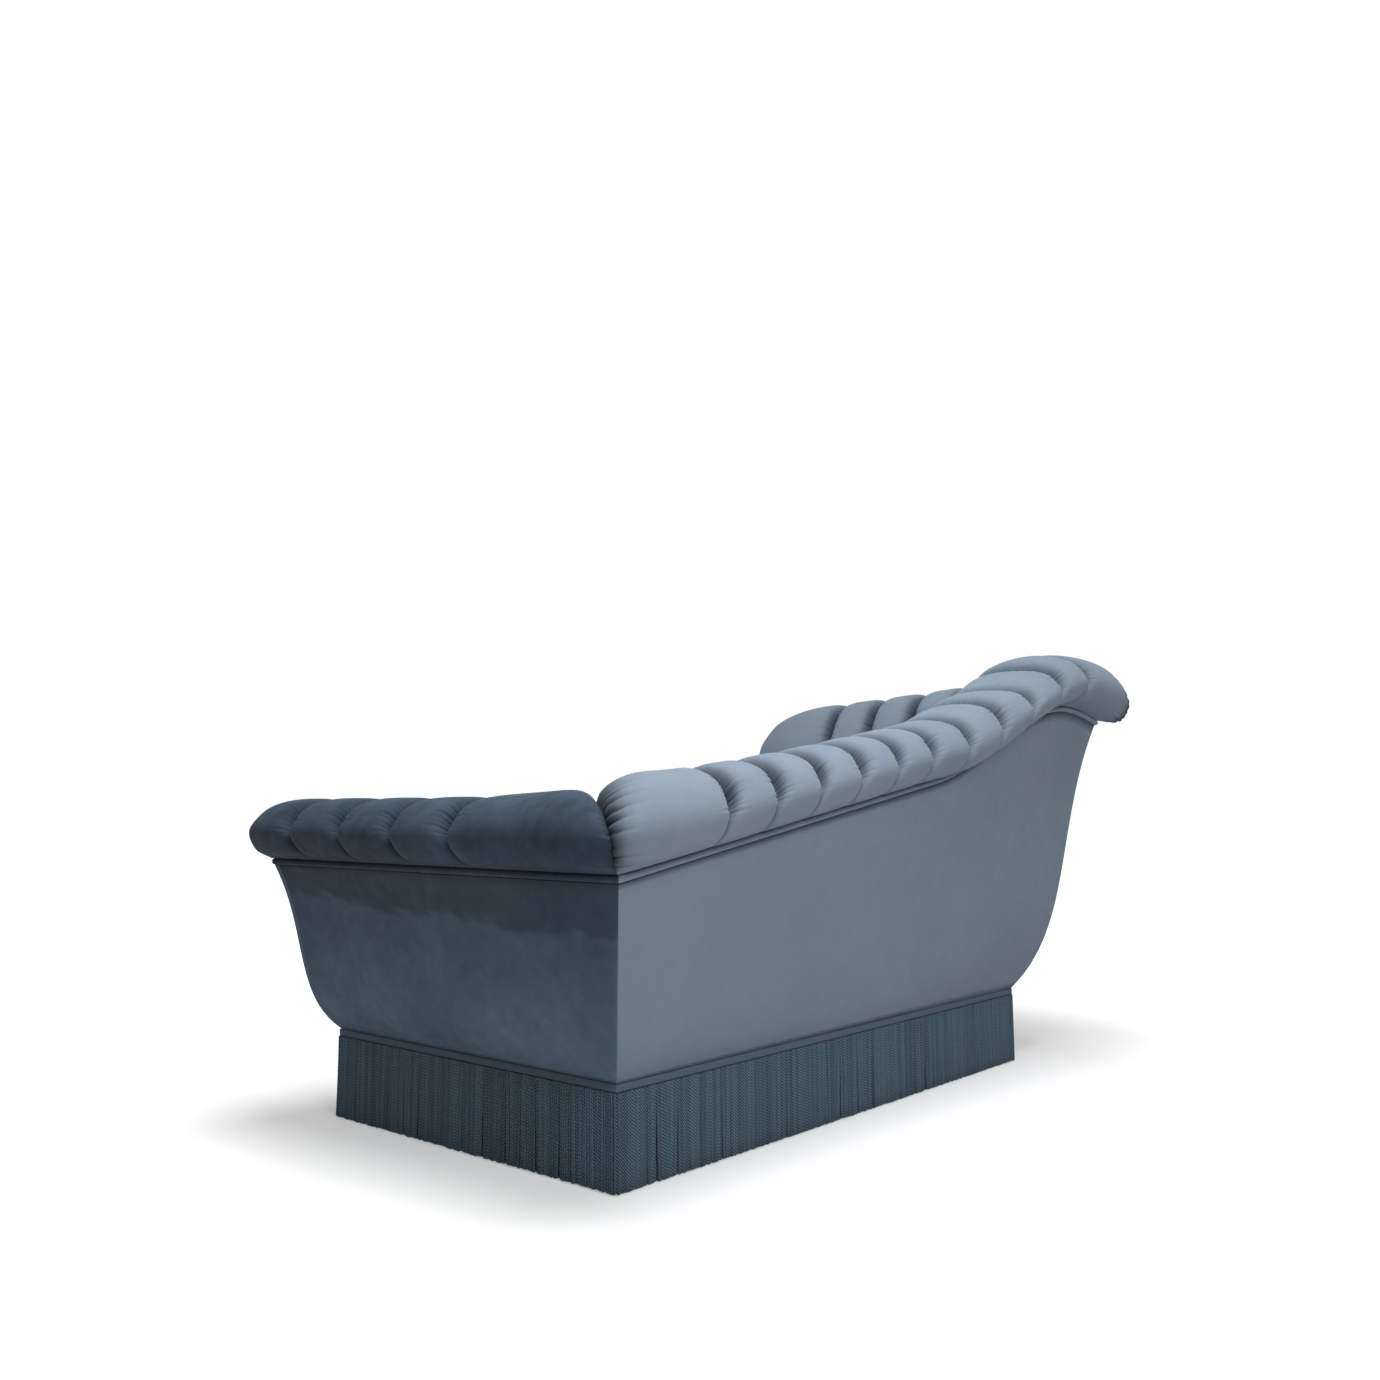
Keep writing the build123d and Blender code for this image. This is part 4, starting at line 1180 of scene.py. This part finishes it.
def cord_material(pile, shade):
    """Twisted cord: strands that wind round it, painted lighter on their crests and darker between
    them, each cord in its own tone.
    """
    fixed = {"Roughness": 0.65, "Specular IOR Level": 0.15}
    material, s, shader = new_material("bullion_cord", fixed)
    split = s.add("SeparateXYZ", {"Vector": s.add("UVMap", {}, uv_map="twist")["UV"]})
    tone = s.attribute("tone")
    turns = s.maths("MULTIPLY", split["X"], STROKE_TURNS)
    drop = s.maths("MULTIPLY", split["Y"], 1 / STROKE_PITCH)
    start = s.maths("MULTIPLY", tone, 7.0)
    wound = s.maths("ADD", s.maths("ADD", turns, drop), start)
    strand = s.maths("SINE", s.maths("MULTIPLY", wound, 2 * math.pi), 0.0)
    # Painted highlight on the strands' crests and painted shade between them, over the same relief as
    # the bump
    lift = s.remap(strand, -0.7, 0.7, 0, 1)
    colour = s.mix(lift, (*shade, 1), (*pile, 1))
    colour = s.mix(1.0, colour, s.remap(tone, 0, 1, 0.74, 1.16), "MULTIPLY")
    s.feed(shader, {"Base Color": colour, "Normal": s.bump(lift, 0.7, 0.0012)})
    return material


RIB_PITCH = 0.0022


def band_material(pile, shade):
    """Woven band: fine upright ribs, painted lighter on their crests and darker between them, with a
    little unevenness.
    """
    fixed = {"Roughness": 0.75, "Specular IOR Level": 0.15}
    material, s, shader = new_material("woven_band", fixed)
    place = s.place()
    split = s.add("SeparateXYZ", {"Vector": place})
    across = s.maths("ADD", split["X"], split["Y"])
    rib = s.maths("SINE", s.maths("MULTIPLY", across, 2 * math.pi / RIB_PITCH), 0.0)
    lift = s.remap(rib, -1, 1, 0, 1)
    uneven = s.remap(s.noise(place, 60, 3), 0.3, 0.7, 0.6, 1.0)
    # Painted highlight on the ribs' crests and painted shade between them, over the same relief as the
    # bump
    colour = s.mix(s.maths("MULTIPLY", lift, uneven), (*shade, 1), (*pile, 1))
    s.feed(shader, {"Base Color": colour, "Normal": s.bump(lift, 0.3, 0.0003)})
    return material


def grain_group():
    """Straight wood grain with growth lines and pores."""
    s, given, result = new_group("straight_grain", (("Light", "Color"), ("Dark", "Color")))
    stretched = s.add("Mapping", {"Vector": s.place(), "Scale": (3, 45, 45)})["Vector"]
    growth = s.noise(stretched, 1.0, 6, 0.6)
    pores = s.noise(stretched, 9.0, 2, 0.5)
    streak = s.weighted(growth, 0.75, pores, 0.25)
    colour = s.mix(s.remap(streak, 0.35, 0.65, 0.0, 1.0), given["Dark"], given["Light"])
    roughness = s.remap(pores, 0.3, 0.7, 0.62, 0.48)
    s.feed(result, {"Colour": colour, "Roughness": roughness, "Height": streak})
    return s.tree


def wood(name, group, light, dark):
    material, s, shader = new_material(name, {})
    s.use_group(shader, group, {"Light": (*light, 1), "Dark": (*dark, 1)}, 0.2, 0.0004)
    return material


def speckled(name, light, dark, scale, roughness, metallic=0.0):
    """Plain finish with a fine uneven grain."""
    material, s, shader = new_material(name, {"Metallic": metallic})
    fine = s.noise(s.place(), scale, 3)
    colour = s.mix(s.remap(fine, 0.3, 0.7, 0.0, 1.0), (*dark, 1), (*light, 1))
    uneven = s.remap(fine, 0.3, 0.7, roughness - 0.08, roughness + 0.08)
    s.feed(shader, {"Base Color": colour, "Roughness": uneven, "Normal": s.bump(fine, 0.15, 0.0003)})
    return material


pile = velvet_group()
grain = grain_group()
ROLL_PILE = ((0.140, 0.172, 0.208), (0.113, 0.147, 0.186))
PANEL_PILE = ((0.144, 0.179, 0.227), (0.123, 0.158, 0.204))
# The foot end's velvets are darker painted-shade copies of the panel and roll velvets, for the foot
# end's shaded side
FOOT_SHADED_PILE = ((0.100, 0.146, 0.198), (0.056, 0.090, 0.130))
FOOT_ROLL_SHADED_PILE = ((0.038, 0.058, 0.082), (0.016, 0.028, 0.043))
roll_velvet = velvet("roll_velvet", pile, *ROLL_PILE, 0.09)
panel_velvet = velvet("panel_velvet", pile, *PANEL_PILE, 0.07)
foot_painted_shade_velvet = velvet("foot_painted_shade_velvet", pile, *FOOT_SHADED_PILE, 0.03, PANEL_PILE)
foot_roll_painted_shade_velvet = velvet("foot_roll_painted_shade_velvet", pile, *FOOT_ROLL_SHADED_PILE, 0.02, ROLL_PILE)
bullion = cord_material((0.100, 0.158, 0.210), (0.016, 0.032, 0.048))
band = band_material((0.080, 0.110, 0.148), (0.052, 0.076, 0.106))
timber = wood("frame_timber", grain, (0.56, 0.40, 0.24), (0.40, 0.26, 0.14))
plywood = wood("plywood", grain, (0.62, 0.46, 0.29), (0.50, 0.35, 0.20))
dark_wood = wood("dark_wood", grain, (0.035, 0.022, 0.015), (0.014, 0.009, 0.007))
black_plastic = speckled("glide_plastic", (0.03, 0.03, 0.03), (0.02, 0.02, 0.02), 900, 0.5)
zinc = speckled("bolt_zinc", (0.62, 0.62, 0.60), (0.50, 0.50, 0.49), 700, 0.35, 1.0)
jute = speckled("webbing_jute", (0.36, 0.27, 0.17), (0.22, 0.16, 0.09), 1500, 0.85)
dust_black = speckled("dust_cloth", (0.020, 0.020, 0.022), (0.010, 0.010, 0.012), 1600, 0.85)

NODE_FINISHES = (
    (("_ribs", "_top_rail", "_seat_rail", "cross_rails", "_blocks", "front_batten"), timber),
    (("_panel",), plywood),
    (("feet",), dark_wood),
    (("glides",), black_plastic),
    (("foot_bolts",), zinc),
)
for name, node in nodes.items():
    for endings, finish in NODE_FINISHES:
        if name.endswith(endings):
            node.data.materials.clear()
            node.data.materials.append(finish)

# Pieces
for wall in WALLS:
    at_foot = wall == "foot"
    make_flutes(wall, foot_roll_painted_shade_velvet if at_foot else roll_velvet)
    make_cover(wall, 90 if wall == "back" else 60, foot_painted_shade_velvet if at_foot else panel_velvet)
    make_piping(wall, 90, foot_roll_painted_shade_velvet if at_foot else panel_velvet)
make_facing("foot", foot_painted_shade_velvet)
make_facing("head", panel_velvet)
make_border(panel_velvet)
make_seat(panel_velvet)
make_header(band)

fringe_random = np.random.default_rng(41)
long_side = BASE_LENGTH - 2 * FRINGE_CORNER
short_side = BASE_DEPTH + FRINGE_CORNER
for name, middle, face, length in (
    ("back", (0, BACK_Y), (0, 1), long_side),
    ("foot", (HALF_LENGTH, BASE_SHIFT), (1, 0), short_side),
    ("front", (0, FRONT_Y), (0, -1), long_side),
    ("head", (-HALF_LENGTH, BASE_SHIFT), (-1, 0), short_side),
):
    make_fringe(name, middle, (face[1], -face[0]), face, length, bullion, fringe_random)

make_webbing("webbing_across", jute)
make_webbing("webbing_along", jute)
make_dust_cover(dust_black)


# Floor, light and camera
def seen_directly(s):
    """1 for rays that show the background."""
    ray = s.add("LightPath", {})
    seen = s.maths("MAXIMUM", ray["Is Camera Ray"], ray["Is Glossy Ray"])
    return s.maths("MAXIMUM", seen, ray["Is Transmission Ray"])


FLOOR_COLOUR = (0.70, 0.70, 0.70, 1)


def make_floor():
    """Pale floor that keeps the shadow and fades to white further out."""
    deselect_all()
    bpy.ops.mesh.primitive_plane_add(size=60, location=(0, 0, 0))
    floor = bpy.context.object
    floor.name = "studio_floor"
    matt = {"Base Color": FLOOR_COLOUR, "Roughness": 1.0, "Specular IOR Level": 0.0}
    material, s, shader = new_material("studio_floor", {**matt, "Emission Color": (1, 1, 1, 1)})
    distance = s.add("VectorMath", {0: s.place()}, operation="LENGTH")["Value"]
    glow = s.remap(distance, 0.9, 2.2, 0.33, 1.0)
    s.feed(shader, {"Emission Strength": s.maths("MULTIPLY", seen_directly(s), glow)})
    floor.data.materials.append(material)


WORLD_LIGHT = 0.20


def make_world(strength):
    world = bpy.data.worlds.new("studio")
    scene.world = world
    world.use_nodes = True
    s = Surface(world.node_tree)
    seen = s.maths("MULTIPLY", seen_directly(s), 1 - strength)
    background = world.node_tree.nodes["Background"].inputs
    s.feed(background, {"Strength": s.maths("ADD", seen, strength), "Color": (1, 1, 1, 1)})


def add_lamp(name, place, aim, size, power):
    lamp = bpy.data.lights.new(name, "AREA")
    lamp.shape = "DISK"
    lamp.size = size
    lamp.energy = power
    holder = bpy.data.objects.new(name, lamp)
    scene.collection.objects.link(holder)
    from_lamp = np.array(aim) - np.array(place)
    yaw = math.atan2(from_lamp[1], from_lamp[0])
    pitch = math.atan2(from_lamp[2], math.hypot(from_lamp[0], from_lamp[1]))
    holder.location = place
    holder.rotation_euler = (math.pi / 2 + pitch, 0, yaw - math.pi / 2)


CAMERA_PLACE = (1.967, 1.544, 0.577)
CAMERA_TURN = 130.70
IMAGE_WIDTH = 1380
FOCAL_PIXELS = 1237.1
HORIZON_PIXEL = 807.3


def make_camera():
    camera = bpy.data.cameras.new("camera")
    camera.sensor_width = 36
    camera.lens = FOCAL_PIXELS / IMAGE_WIDTH * camera.sensor_width
    camera.shift_y = (HORIZON_PIXEL - IMAGE_WIDTH / 2) / IMAGE_WIDTH
    holder = bpy.data.objects.new("camera", camera)
    scene.collection.objects.link(holder)
    holder.location = CAMERA_PLACE
    holder.rotation_euler = (math.pi / 2, 0, math.radians(CAMERA_TURN))
    scene.camera = holder


make_floor()
make_world(WORLD_LIGHT)
add_lamp("key", (1.6, 3.2, 2.2), (0.1, 0.2, 0.5), 1.8, 78)
add_lamp("top", (0.6, 0.6, 2.7), (0.1, 0.3, 0.6), 1.6, 92)
make_camera()
scene.view_settings.view_transform = "Standard"
